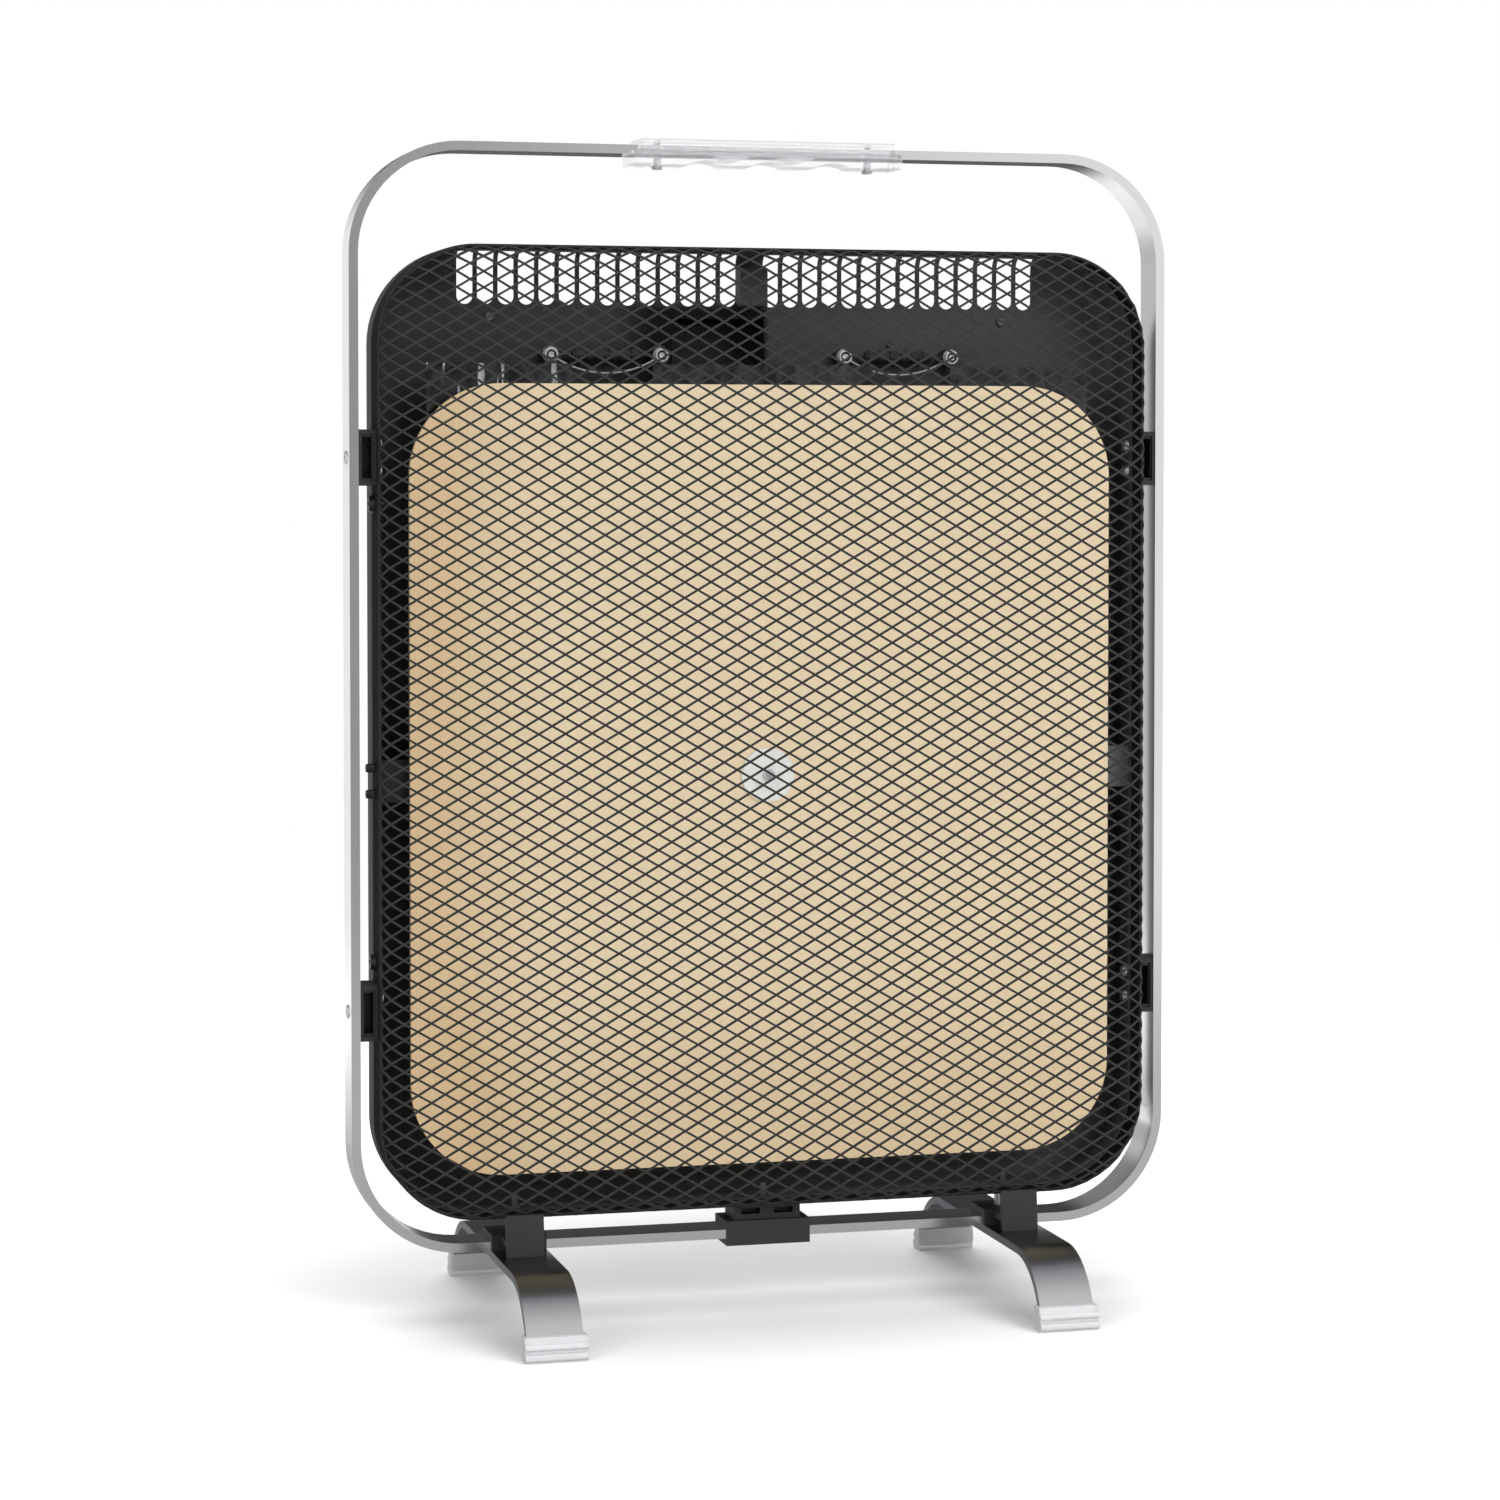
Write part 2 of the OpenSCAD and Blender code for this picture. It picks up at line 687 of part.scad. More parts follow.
// Openings of the front field, a staggered pattern of diamonds
module front_diamonds() {
    open_w = diamond_w - strand * diamond_w / diamond_h;
    open_h = open_w * diamond_h / diamond_w;
    cols = floor((body_w / 2 - 12) / (diamond_w / 2));
    rows = floor((body_h / 2 - 12) / (diamond_h / 2));
    field_x = body_half - front_roll * 0.55;
    field_z = body_h / 2 - front_roll * 0.55;
    inner_r = body_r - front_roll * 0.55;
    for (i = [-cols : cols], j = [-rows : rows]) {
        x = i * diamond_w / 2;
        z = j * diamond_h / 2;
        reach_x = max(0, abs(x) - (field_x - inner_r));
        reach_z = max(0, abs(z) - (field_z - inner_r));
        inside = norm([reach_x, reach_z]) < inner_r - 14
            && abs(x) + open_w / 2 < field_x && abs(z) + open_h / 2 < field_z;
        if ((i + j) % 2 == 0 && inside) {
            translate([x, z]) diamond(open_w, open_h);
        }
    }
}

// Openings in the walls behind the rolled edge
module wall_diamonds() {
    wall_w = 14;
    wall_y = -9;
    long = diamond_h - 2 * strand;
    reach = body_h / 2 - body_r;
    count_z = floor(reach / diamond_h);
    for (j = [-count_z : count_z]) {
        z = body_mid_z + j * diamond_h;
        translate([0, wall_y, z]) rotate([90, 0, 90]) linear_extrude(body_w + 20, center = true)
            diamond(wall_w, long);
    }
    count_x = floor((body_half - body_r) / diamond_w);
    for (i = [-count_x : count_x]) {
        translate([i * diamond_w, wall_y, body_mid_z]) linear_extrude(body_h + 20, center = true)
            diamond(diamond_w - 3 * strand, wall_w);
    }
}

module front_grille() {
    color([0.16, 0.16, 0.17]) difference() {
        translate([0, 0, body_mid_z]) union() {
            slab(-body_back, -body_back + grille_t)
                round_rect(body_w - 2 * front_roll, body_h - 2 * front_roll, body_r - front_roll);
            rim(body_w, body_h, body_r) grille_section();
        }
        translate([0, 0, body_mid_z]) slab(-body_back - 1, -body_back + front_roll * 0.8) front_diamonds();
        wall_diamonds();
        body_holes();
    }
}

// Screw holes that the grille's wall and the rear shell's lip share
module body_holes() {
    for (z = concat(side_screw_zs, [bar_z - bar_screw_gap / 2, bar_z + bar_screw_gap / 2],
            [for (b = [bracket_low_z, bracket_high_z], k = [-0.5, 0.5]) b + k * bracket_screw_gap])) {
        hole_x(-body_half - 3, body_half + 3, side_screw_y, z, hole_d);
    }
    for (x = [-foot_x, 0, foot_x]) {
        translate([x, 0, body_z - 1]) cylinder(h = 6, d = bolt_hole_d);
    }
}

// Section of the rear shell's edge, wall and lip
module shell_section() {
    lip_x = body_r - grille_t - lip_clear;
    difference() {
        translate([body_r - rear_roll, body_back - rear_roll]) circle(rear_roll);
        translate([body_r - rear_roll, body_back - rear_roll]) circle(rear_roll - shell_t);
        translate([body_r - 3 * rear_roll, body_back - 2 * rear_roll]) square([2 * rear_roll, 3 * rear_roll]);
        translate([0, body_back - 3 * rear_roll]) square([body_r + 1, 2 * rear_roll]);
    }
    translate([body_r - shell_t, rim_y]) square([shell_t, body_back - rear_roll - rim_y]);
    translate([lip_x - shell_t, -lip_reach]) square([shell_t, lip_reach + rim_y + 3]);
}

module rear_shell() {
    color([0.2, 0.2, 0.21]) difference() {
        translate([0, 0, body_mid_z]) union() {
            slab(body_back - shell_t, body_back)
                round_rect(body_w - 2 * rear_roll, body_h - 2 * rear_roll, body_r - rear_roll);
            rim(body_w, body_h, body_r) shell_section();
        }
        for (s = [-1, 1], i = [0 : vent_count - 1]) {
            x = s * (vent_first + i * vent_pitch);
            hole_y(x, vent_z + vent_w / 2, 12, body_back + 2, vent_w);
            translate([x - vent_w / 2, 12, vent_z + vent_w / 2]) cube([vent_w, body_back, body_h]);
        }
        for (s = [-1, 1], i = [0 : inlet_count - 1]) {
            x = s * (vent_first + i * vent_pitch * 1.6);
            hole_y(x, inlet_z + vent_w / 2, body_back - 5, body_back + 2, vent_w);
            hole_y(x, inlet_z + inlet_len - vent_w / 2, body_back - 5, body_back + 2, vent_w);
            translate([x - vent_w / 2, body_back - 5, inlet_z + vent_w / 2])
                cube([vent_w, 10, inlet_len - vent_w]);
        }
        translate([opening_x0, body_back - 5, opening_z0])
            cube([opening_x1 - opening_x0, 10, opening_z1 - opening_z0]);
        for (s = [-1, 1]) {
            hole_y(s * rivet_x, rivet_z, body_back - 5, body_back + 2, rivet_d + 2 * seat_clear);
            for (k = [-1, 1]) {
                hole_y(s * (box_w / 2 + ear_w / 2), box_mid_z + k * ear_z, body_back - 5, body_back + 2, screw_d);
            }
        }
        body_holes();
    }
}

module shell_screws() {
    color([0.25, 0.25, 0.26]) for (s = [-1, 1], z = side_screw_zs) {
        translate([s * body_half, side_screw_y, z]) rotate([0, 0, s > 0 ? 0 : 180])
            screw_x(screw_d, 6, side_head_d, side_head_h);
    }
}

// Hat-section stiffener inside the rear wall between the two vent groups
module stiffener() {
    top_z = body_top_z - rear_roll - 1;
    inner_y = body_back - shell_t;
    sheet = 1;
    color([0.34, 0.34, 0.35]) translate([0, 0, vent_z]) linear_extrude(top_z - vent_z) {
        translate([-stiffener_w / 2, inner_y - stiffener_d]) square([stiffener_w, sheet]);
        for (s = [-1, 1]) {
            translate([s * (stiffener_w - sheet) / 2 - sheet / 2, inner_y - stiffener_d])
                square([sheet, stiffener_d]);
        }
    }
}

module shell_rivets() {
    inner_y = body_back - shell_t;
    color([0.6, 0.6, 0.6]) for (s = [-1, 1]) {
        translate([s * rivet_x, inner_y, rivet_z]) rotate([90, 0, 0])
            cylinder(h = 1.6, d1 = rivet_head_d, d2 = rivet_head_d - 2);
        hole_y(s * rivet_x, rivet_z, inner_y, body_back, rivet_d);
        translate([s * rivet_x, body_back, rivet_z]) rotate([-90, 0, 0])
            cylinder(h = 1.2, d1 = rivet_head_d, d2 = rivet_head_d - 1.8);
    }
}

// Inner structure

module crossbar() {
    z0 = bar_z - bar_h / 2;
    z1 = bar_z + bar_h / 2;
    color([0.45, 0.45, 0.46]) difference() {
        union() {
            translate([-body_in_x, bar_y, z0]) cube([2 * body_in_x, bar_t, bar_h]);
            for (z = [z0, z1 - bar_t]) {
                translate([-body_in_x, bar_y, z]) cube([2 * body_in_x, bar_d, bar_t]);
            }
            for (s = [-1, 1]) {
                translate([s * (body_in_x - bar_t / 2), bar_y + bar_d / 2, bar_z])
                    cube([bar_t, bar_d, bar_h], center = true);
            }
        }
        for (k = [-0.5, 0.5]) {
            hole_x(-body_half, body_half, bar_screw_y, bar_z + k * bar_screw_gap, screw_d);
        }
        hole_y(0, bar_z, bar_y - 1, bar_y + 3, hole_d);
    }
}

module crossbar_screws() {
    color([0.7, 0.7, 0.7]) for (s = [-1, 1], k = [-0.5, 0.5]) {
        translate([s * body_half, bar_screw_y, bar_z + k * bar_screw_gap])
            rotate([0, 0, s > 0 ? 0 : 180]) screw_x(screw_d, 7, bar_head_d, bar_head_h);
    }
}

module reflector() {
    color([0.62, 0.62, 0.63]) difference() {
        translate([0, 0, body_mid_z]) slab(reflector_y, reflector_y + reflector_t)
            square([reflector_w, reflector_h], center = true);
        hole_y(0, plate_z, reflector_y - 1, reflector_y + 2, hole_d);
        for (s = [-1, 1]) {
            hole_y(s * lead_x, lead_z, reflector_y - 1, reflector_y + 2, lead_hole_d);
        }
    }
}

module plate_sheet(y0) {
    difference() {
        translate([0, 0, plate_z]) slab(y0, y0 + plate_t) round_rect(plate_w, plate_h, plate_r);
        hole_y(0, plate_z, y0 - 1, y0 + plate_t + 1, hole_d);
    }
}

module front_plate() {
    color([0.86, 0.78, 0.62]) plate_sheet(-plate_y);
}

module rear_plate() {
    face_y = -plate_y + plate_t + foil_t;
    color([0.8, 0.72, 0.56]) difference() {
        plate_sheet(face_y);
        for (s = [-1, 1]) {
            hole_y(s * lead_x, lead_z, face_y - 1, face_y + plate_t + 1, lead_hole_d);
        }
    }
}

// Foil track that runs up and down between the two insulating sheets
module heating_foil() {
    pitch = foil_pitch;
    reach = plate_h / 2 - 22;
    half = foil_w / 2;
    first_x = -foil_end_x;
    color([0.6, 0.55, 0.48]) difference() {
        translate([0, 0, plate_z]) slab(-plate_y + plate_t, -plate_y + plate_t + foil_t) {
            for (i = [0 : foil_runs - 1]) {
                translate([first_x + i * pitch - half, -reach]) square([foil_w, 2 * reach]);
            }
            for (i = [0 : foil_runs - 2]) {
                end = (i % 2 == 0) ? reach - foil_w : -reach;
                translate([first_x + i * pitch, end]) square([pitch, foil_w]);
            }
        }
        hole_y(0, plate_z, -plate_y, 0, hole_d);
    }
}

module plate_spacer() {
    color([0.8, 0.8, 0.78]) difference() {
        hole_y(0, plate_z, reflector_y - plate_gap, reflector_y, 14);
        hole_y(0, plate_z, reflector_y - plate_gap - 1, reflector_y + 1, hole_d);
    }
}

module centre_washer() {
    washer_t = 1.6;
    dish_t = 1;
    color([0.72, 0.72, 0.72]) difference() {
        union() {
            hole_y(0, plate_z, -plate_y - washer_t, -plate_y, washer_d);
            translate([0, -plate_y - washer_t, plate_z]) rotate([90, 0, 0])
                cylinder(h = dish_t, d1 = washer_d * 0.62, d2 = washer_d * 0.46);
        }
        hole_y(0, plate_z, -plate_y - 5, -plate_y + 1, hole_d);
    }
}

module centre_screw() {
    seat_y = -plate_y - 2.6;
    nut_t = 2.8;
    nut_y = bar_y + bar_t;
    color([0.66, 0.66, 0.66]) {
        translate([0, seat_y, plate_z]) rotate([0, 0, -90])
            screw_x(screw_d, nut_y + nut_t - seat_y, head_d, head_h);
        translate([0, nut_y, plate_z]) rotate([-90, 0, 0]) cylinder(h = nut_t, d = 7.6, $fn = 6);
    }
}

// Fuse links on the rear wall

module fuse_sleeve(side) {
    ribs = 6;
    pitch = sleeve_len / ribs;
    x0 = side * fuse_x - sleeve_len / 2;
    color([0.08, 0.08, 0.09]) {
        translate([x0, fuse_y, fuse_z]) rotate([0, 90, 0]) cylinder(h = sleeve_len, d = sleeve_d - 1.4);
        for (i = [0 : ribs - 1]) {
            translate([x0 + (i + 0.2) * pitch, fuse_y, fuse_z]) rotate([0, 90, 0])
                cylinder(h = pitch * 0.6, d = sleeve_d);
        }
        for (s = [-1, 1]) {
            rod([side * fuse_x + s * sleeve_len / 2, fuse_y, fuse_z],
                [side * fuse_x + s * (fuse_span / 2 - ring_d / 2), fuse_y, fuse_z], link_tail_d);
        }
    }
}

module fuse_sleeve_left() { fuse_sleeve(-1); }
module fuse_sleeve_right() { fuse_sleeve(1); }

module fuse_posts() {
    color([0.85, 0.84, 0.8]) for (s = [-1, 1], k = [-0.5, 0.5]) {
        x = s * fuse_x + k * fuse_span;
        difference() {
            hole_y(x, fuse_z, fuse_y + ring_t, body_back - shell_t, fuse_post_d);
            hole_y(x, fuse_z, fuse_y, fuse_y + 6, terminal_d + 2 * seat_clear);
        }
    }
}

module terminal_screws() {
    color([0.75, 0.75, 0.75]) for (s = [-1, 1], k = [-0.5, 0.5]) {
        translate([s * fuse_x + k * fuse_span, fuse_y - ring_t, fuse_z]) {
            rotate([0, 0, -90]) screw_x(terminal_d, ring_t * 2 + 5, terminal_head_d, 2.2);
            difference() {
                rotate([-90, 0, 0]) cylinder(h = 2 * ring_t, d = ring_d);
                translate([0, -1, 0]) rotate([-90, 0, 0]) cylinder(h = 4, d = terminal_d - eps);
            }
        }
    }
}

// Bright wire that hangs below a link, cut where it meets the ring terminals
module fuse_wire(side) {
    half = fuse_span / 2;
    arc_r = (half * half + wire_sag * wire_sag) / (2 * wire_sag);
    arc_a = 2 * asin(half / arc_r);
    color([0.75, 0.74, 0.72]) difference() {
        translate([side * fuse_x, fuse_y, fuse_z + arc_r - wire_sag]) rotate([90, 0, 0])
            rotate([0, 0, -90 - arc_a / 2]) rotate_extrude(angle = arc_a) translate([arc_r, 0]) circle(d = wire_d, $fn = 24);
        for (s = [-1, 1]) {
            hole_y(side * fuse_x + s * half, fuse_z, fuse_y - 3, fuse_y + 3, ring_d);
        }
    }
}

module fuse_wire_left() { fuse_wire(-1); }
module fuse_wire_right() { fuse_wire(1); }

// Insulated leads from under the outer posts, out and forward to the heating foil's ends
module element_leads() {
    foil_back_y = -plate_y + plate_t + foil_t;
    post_x = fuse_x + fuse_span / 2;
    color([0.55, 0.12, 0.1]) for (s = [-1, 1]) {
        rod([s * post_x, lead_y, fuse_z - fuse_post_d / 2], [s * post_x, lead_y, lead_z - lead_d / 2], lead_d);
        rod([s * (post_x - lead_d / 2), lead_y, lead_z], [s * (lead_x + lead_d / 2), lead_y, lead_z], lead_d);
        rod([s * lead_x, lead_y + lead_d / 2, lead_z], [s * lead_x, foil_back_y, lead_z], lead_d);
    }
}

// Control box on the back

module box_section() {
    difference() {
        translate([box_r - box_roll, box_back - box_roll]) circle(box_roll);
        translate([box_r - box_roll, box_back - box_roll]) circle(box_roll - box_t);
        translate([box_r - 3 * box_roll, box_back - 2 * box_roll]) square([2 * box_roll, 3 * box_roll]);
        translate([0, box_back - 3 * box_roll]) square([box_r + 1, 2 * box_roll]);
    }
    translate([box_r - box_t, body_back]) square([box_t, box_d - box_roll]);
}

module control_box() {
    color([0.13, 0.13, 0.14]) difference() {
        union() {
            translate([0, 0, box_mid_z]) {
                slab(box_back - box_t, box_back)
                    round_rect(box_w - 2 * box_roll, box_h - 2 * box_roll, box_r - box_roll);
                rim(box_w, box_h, box_r) box_section();
            }
            for (s = [-1, 1], k = [-1, 1]) {
                translate([s * (box_w / 2 + ear_w / 2 - 1), body_back + ear_t / 2, box_mid_z + k * ear_z])
                    cube([ear_w + 2, ear_t, 14], center = true);
            }
        }
        for (s = [-1, 1], k = [-1, 1]) {
            hole_y(s * (box_w / 2 + ear_w / 2), box_mid_z + k * ear_z, body_back - 1, body_back + ear_t + 1, hole_d);
        }
        hole_y(dial_x, dial_z, box_back - 5, box_back + 1, neck_d + 2 * seat_clear);
        for (k = [-0.5, 0.5]) {
            translate([rocker_x, box_back, rocker_mid_z + k * rocker_gap])
                cube([rocker_w + 2 * rocker_clear + 2 * switch_wall, 8,
                    rocker_h + 2 * rocker_clear + 2 * switch_wall], center = true);
        }
        hole_y(lamp_x, lamp_z, box_back - 5, box_back + 1, lamp_d + 2 * seat_clear);
        translate([gland_x, gland_y, box_floor_z - 1]) cylinder(h = box_t + 2, d = gland_neck_d + 2 * seat_clear);
    }
}

module box_screws() {
    color([0.25, 0.25, 0.26]) for (s = [-1, 1], k = [-1, 1]) {
        translate([s * (box_w / 2 + ear_w / 2), body_back + ear_t, box_mid_z + k * ear_z])
            rotate([0, 0, 90]) screw_x(screw_d, ear_t + 3, head_d, head_h);
    }
}

module thermostat() {
    cup_d = 30;
    cup_len = 20;
    inner_y = box_back - box_t;
    color([0.78, 0.76, 0.7]) difference() {
        union() {
            hole_y(dial_x, dial_z, inner_y - cup_len, inner_y, cup_d);
            hole_y(dial_x, dial_z, inner_y - eps, box_back, neck_d);
            for (s = [-1, 1]) {
                translate([dial_x + s * 8, inner_y - cup_len - 3, dial_z]) cube([6, 6.1, 0.8], center = true);
            }
        }
        hole_y(dial_x, dial_z, inner_y - cup_len + 4, box_back + 1, shaft_d + 2 * run_clear);
    }
}

module thermostat_shaft() {
    inner_y = box_back - box_t;
    color([0.7, 0.7, 0.7]) hole_y(dial_x, dial_z, inner_y - 15.9, box_back + dial_gap + 10, shaft_d);
}

module dial_knob() {
    y0 = box_back + dial_gap;
    flutes = 18;
    color([0.1, 0.1, 0.11]) difference() {
        union() {
            hole_y(dial_x, dial_z, y0, y0 + 2.4, dial_d + 6);
            translate([dial_x, y0 + 2.4, dial_z]) rotate([-90, 0, 0])
                cylinder(h = dial_h - 2.4, d1 = dial_d, d2 = dial_d - 3);
        }
        for (i = [0 : flutes - 1]) {
            translate([dial_x, y0 + 2.4, dial_z]) rotate([-90, 0, 0]) rotate([0, 0, i * 360 / flutes])
                translate([dial_d / 2 + 0.6, 0, 0]) cylinder(h = dial_h, d = 3, $fn = 24);
        }
        translate([dial_x, y0 + dial_h, dial_z + dial_d / 4]) cube([1.6, 1.2, dial_d / 3], center = true);
        hole_y(dial_x, dial_z, y0 - 1, y0 + 10, shaft_d + 2 * seat_clear);
    }
}

// Switch case with a pocket for the rocker and two holes for its pins
module switch_case(z) {
    in_w = rocker_w + 2 * rocker_clear;
    in_h = rocker_h + 2 * rocker_clear;
    out_w = in_w + 2 * switch_wall;
    out_h = in_h + 2 * switch_wall;
    color([0.1, 0.1, 0.1]) difference() {
        union() {
            translate([rocker_x, box_back + bezel_t - switch_depth / 2, z])
                cube([out_w, switch_depth, out_h], center = true);
            translate([rocker_x, box_back + bezel_t / 2, z]) cube([out_w + 4, bezel_t, out_h + 4], center = true);
        }
        translate([rocker_x, box_back + bezel_t - 5, z]) cube([in_w, 12, in_h], center = true);
        hole_x(rocker_x - in_w / 2 - 1.2, rocker_x + in_w / 2 + 1.2, box_back - 3.4, z, rocker_pin_d + 2 * run_clear);
    }
}

// Rocker with a hollowed face and two pins
module rocker(z) {
    pivot_y = box_back - 3.4;
    in_w = rocker_w + 2 * rocker_clear;
    color([0.16, 0.16, 0.17]) translate([rocker_x, pivot_y, z]) {
        difference() {
            rotate([0, 90, 0]) cylinder(h = rocker_w, d = rocker_h, center = true);
            translate([0, 14, 0]) rotate([0, 90, 0]) cylinder(h = rocker_w + 2, d = 20, center = true);
            translate([0, -rocker_h / 2 - 3.6, 0]) cube([rocker_w + 2, rocker_h, rocker_h + 2], center = true);
        }
        rotate([0, 90, 0]) cylinder(h = in_w + 2, d = rocker_pin_d, center = true);
    }
}

module switch_low() { switch_case(rocker_mid_z - rocker_gap / 2); }
module switch_high() { switch_case(rocker_mid_z + rocker_gap / 2); }
module rocker_low() { rocker(rocker_mid_z - rocker_gap / 2); }
module rocker_high() { rocker(rocker_mid_z + rocker_gap / 2); }

module pilot_lamp() {
    color([0.75, 0.1, 0.08]) {
        hole_y(lamp_x, lamp_z, box_back - box_t - 10, box_back, lamp_d);
        translate([lamp_x, box_back, lamp_z]) rotate([-90, 0, 0]) cylinder(h = 2, d1 = lamp_d + 2, d2 = lamp_d - 1);
    }
}

// Sealed tilt switch standing on the floor of the control box
module tip_switch() {
    front_y = body_back + 10;
    color([0.75, 0.75, 0.72]) translate([0, front_y, box_floor_z + box_t]) {
        translate([-tip_w / 2, 0, 0]) cube([tip_w, tip_d, tip_h]);
        translate([0, 0, tip_h / 2]) rotate([90, 0, 0]) cylinder(h = 3, d = tip_h - 6);
    }
}

module cord_inlet() {
    color([0.1, 0.1, 0.11]) translate([gland_x, gland_y, box_floor_z]) difference() {
        union() {
            translate([0, 0, -gland_out]) cylinder(h = gland_out, d1 = gland_d - 3, d2 = gland_d);
            translate([0, 0, -eps]) cylinder(h = box_t + 8, d = gland_neck_d);
        }
        translate([0, 0, -gland_out - 1]) cylinder(h = gland_out + 7, d = gland_bore);
    }
}

module inlet_nut() {
    nut_t = 4;
    color([0.12, 0.12, 0.13]) translate([gland_x, gland_y, box_floor_z + box_t]) difference() {
        cylinder(h = nut_t, d = gland_d + 2, $fn = 6);
        translate([0, 0, -1]) cylinder(h = nut_t + 2, d = gland_neck_d + 2 * seat_clear);
    }
}

frame_loop();
grip_upper();
grip_lower();
grip_screws();
side_bracket_left_high();
side_bracket_left_low();
side_bracket_right_high();
side_bracket_right_low();
frame_screws();
bracket_screws();
centre_clip();
foot_bracket_left();
foot_bracket_right();
foot_spacers();
upright_bolts();
foot_strip_left();
foot_strip_right();
foot_cap_front_left();
foot_cap_front_right();
foot_cap_rear_left();
foot_cap_rear_right();
front_grille();
rear_shell();
shell_screws();
stiffener();
shell_rivets();
crossbar();
crossbar_screws();
reflector();
front_plate();
heating_foil();
rear_plate();
plate_spacer();
centre_washer();
centre_screw();
fuse_sleeve_left();
fuse_sleeve_right();
fuse_posts();
terminal_screws();
fuse_wire_left();
fuse_wire_right();
element_leads();
control_box();
box_screws();
thermostat();
thermostat_shaft();
dial_knob();
switch_low();
switch_high();
rocker_low();
rocker_high();
pilot_lamp();
tip_switch();
cord_inlet();
inlet_nut();
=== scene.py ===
"""Looks of the infrared panel heater: finishes for every CAD node, the true-pitch grille, the crumpled reflector,
the marks on the controls, and the camera, lights and stage."""
import json
import math

import bmesh
import bpy
from mathutils import Matrix, Vector, noise


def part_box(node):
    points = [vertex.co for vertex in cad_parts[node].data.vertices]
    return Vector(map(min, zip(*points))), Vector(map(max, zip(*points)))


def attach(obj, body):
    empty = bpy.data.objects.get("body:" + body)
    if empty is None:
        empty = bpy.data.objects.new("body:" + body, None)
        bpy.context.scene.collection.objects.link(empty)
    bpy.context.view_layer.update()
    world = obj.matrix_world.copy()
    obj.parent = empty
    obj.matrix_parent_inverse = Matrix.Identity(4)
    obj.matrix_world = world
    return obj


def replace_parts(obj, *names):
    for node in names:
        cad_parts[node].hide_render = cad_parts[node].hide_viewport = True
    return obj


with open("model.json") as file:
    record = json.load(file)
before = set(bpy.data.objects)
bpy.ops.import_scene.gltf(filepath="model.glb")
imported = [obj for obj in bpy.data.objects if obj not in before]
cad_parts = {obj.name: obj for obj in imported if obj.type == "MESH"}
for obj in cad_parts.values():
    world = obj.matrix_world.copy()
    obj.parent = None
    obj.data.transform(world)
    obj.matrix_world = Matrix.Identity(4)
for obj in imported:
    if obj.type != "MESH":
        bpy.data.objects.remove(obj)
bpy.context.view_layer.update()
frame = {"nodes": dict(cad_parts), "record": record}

MM = 0.001

# Camera, fitted to straight edges of the object
CAMERA_AT = (-0.5269, -1.9907, 0.4583)
CAMERA_TILT = math.radians(88.044)
CAMERA_TURN = math.radians(14.635)
CAMERA_LENS = 89.891
CAMERA_SHIFT = -0.10

# Lights: name, place, aim, size and watts
LIGHTS = (
    ("key", (1.5, -3.0, 1.9), (0, 0, 0.3), (2.0, 1.6), 95),
    ("fill", (-2.4, -2.0, 1.5), (0, 0, 0.3), (1.6, 1.6), 34),
    ("top", (0.1, 0.2, 2.8), (0, 0.1, 0), (2.6, 2.6), 50),
    ("back", (0.3, 2.6, 1.9), (0, 0.3, 0.2), (3.0, 1.6), 40),
)

# Room that metal mirrors: its level, its dark sides (heading, fade between two cosines, loss), and the dark part
# above and behind (fades by the north and by the upward direction, loss)
ROOM_LEVEL = 0.98
DARK_SIDES = (
    ((0.34, 0.94), (0.9, 0.97), 0.9),
    ((-0.6, 0.8), (0.92, 0.985), 0.6),
    ((-0.087, -0.996), (0.9, 0.985), 0.75),
)
DARK_ABOVE = ((0, 0.4), (0.1, 0.28), 0.75)
AMBIENT = (0.5, 0.5, 0.505, 1)

# Floor, in metres: its radius, where it fades out, the soft shadow painted under the body (middle, half widths,
# depth), its two tones, its own glow, and how much darker its near part is in reflections (fade towards the back,
# loss)
FLOOR_R = 3.0
FADE = (0.75, 1.9)
SHADE_Y = 0.06
SHADE_HALF = (0.36, 0.26)
SHADE_DEPTH = 0.27
FLOOR_TONES = (0.85, 0.87)
FLOOR_GLOW = 0.09
FLOOR_MIRRORED = ((0.3, 1.2), 0.68)

# Grille sheet, in millimetres: the body's outline, its rolled edge, the diamonds, the plain rim at the rear (width,
# lap under the diamonds, steps at a corner), how far holes stay off the rim, and how far past the body it is laid out
BODY_W = 430.8
BODY_H = 523.5
BODY_MID_Z = 318.25
BODY_FRONT = -30.0
BODY_R = 53.0
ROLL_R = 12.0
WALL_END = 5.7
SHEET_T = 1.0
DIAMOND_W = 14.6
DIAMOND_H = 8.5
STRAND_W = 1.15
RIM_W = 24.0
RIM_LAP = 0.4
RIM_STEPS = 24
HOLE_LAP = 0.3
LAID_OUT = 40.0

# Fuse links, in millimetres: middle of a link, half the span of its terminal screws, and their height
LINK_X = 83.5
LINK_HALF = 31.0
LINK_Z = 522.5

# Terminal plate, in millimetres from a screw's middle: how the painted shade in the recess between head and ring
# fades in and out
TERMINAL_GAP_SHADE = ((1.5, 1.8), (2.7, 3.0))

# Crumpled reflector foil, in millimetres: cell, thickness, fold height with its waves (pitch, share, shift), lead
# holes (from the middle and from the rear plate's top, with a reach in cells), and notches under the links
FOIL_CELL = 5.0
FOIL_T = 0.3
FOIL_FOLD = 1.1
FOIL_WAVES = ((0.031, 1.0, (0, 0, 0)), (0.083, 0.5, (7, 3, 5)))
LEAD_AT = (138.4, 60.0)
LEAD_REACH = 0.6
NOTCH_HALF = 22.0
NOTCH_Z = 509.0
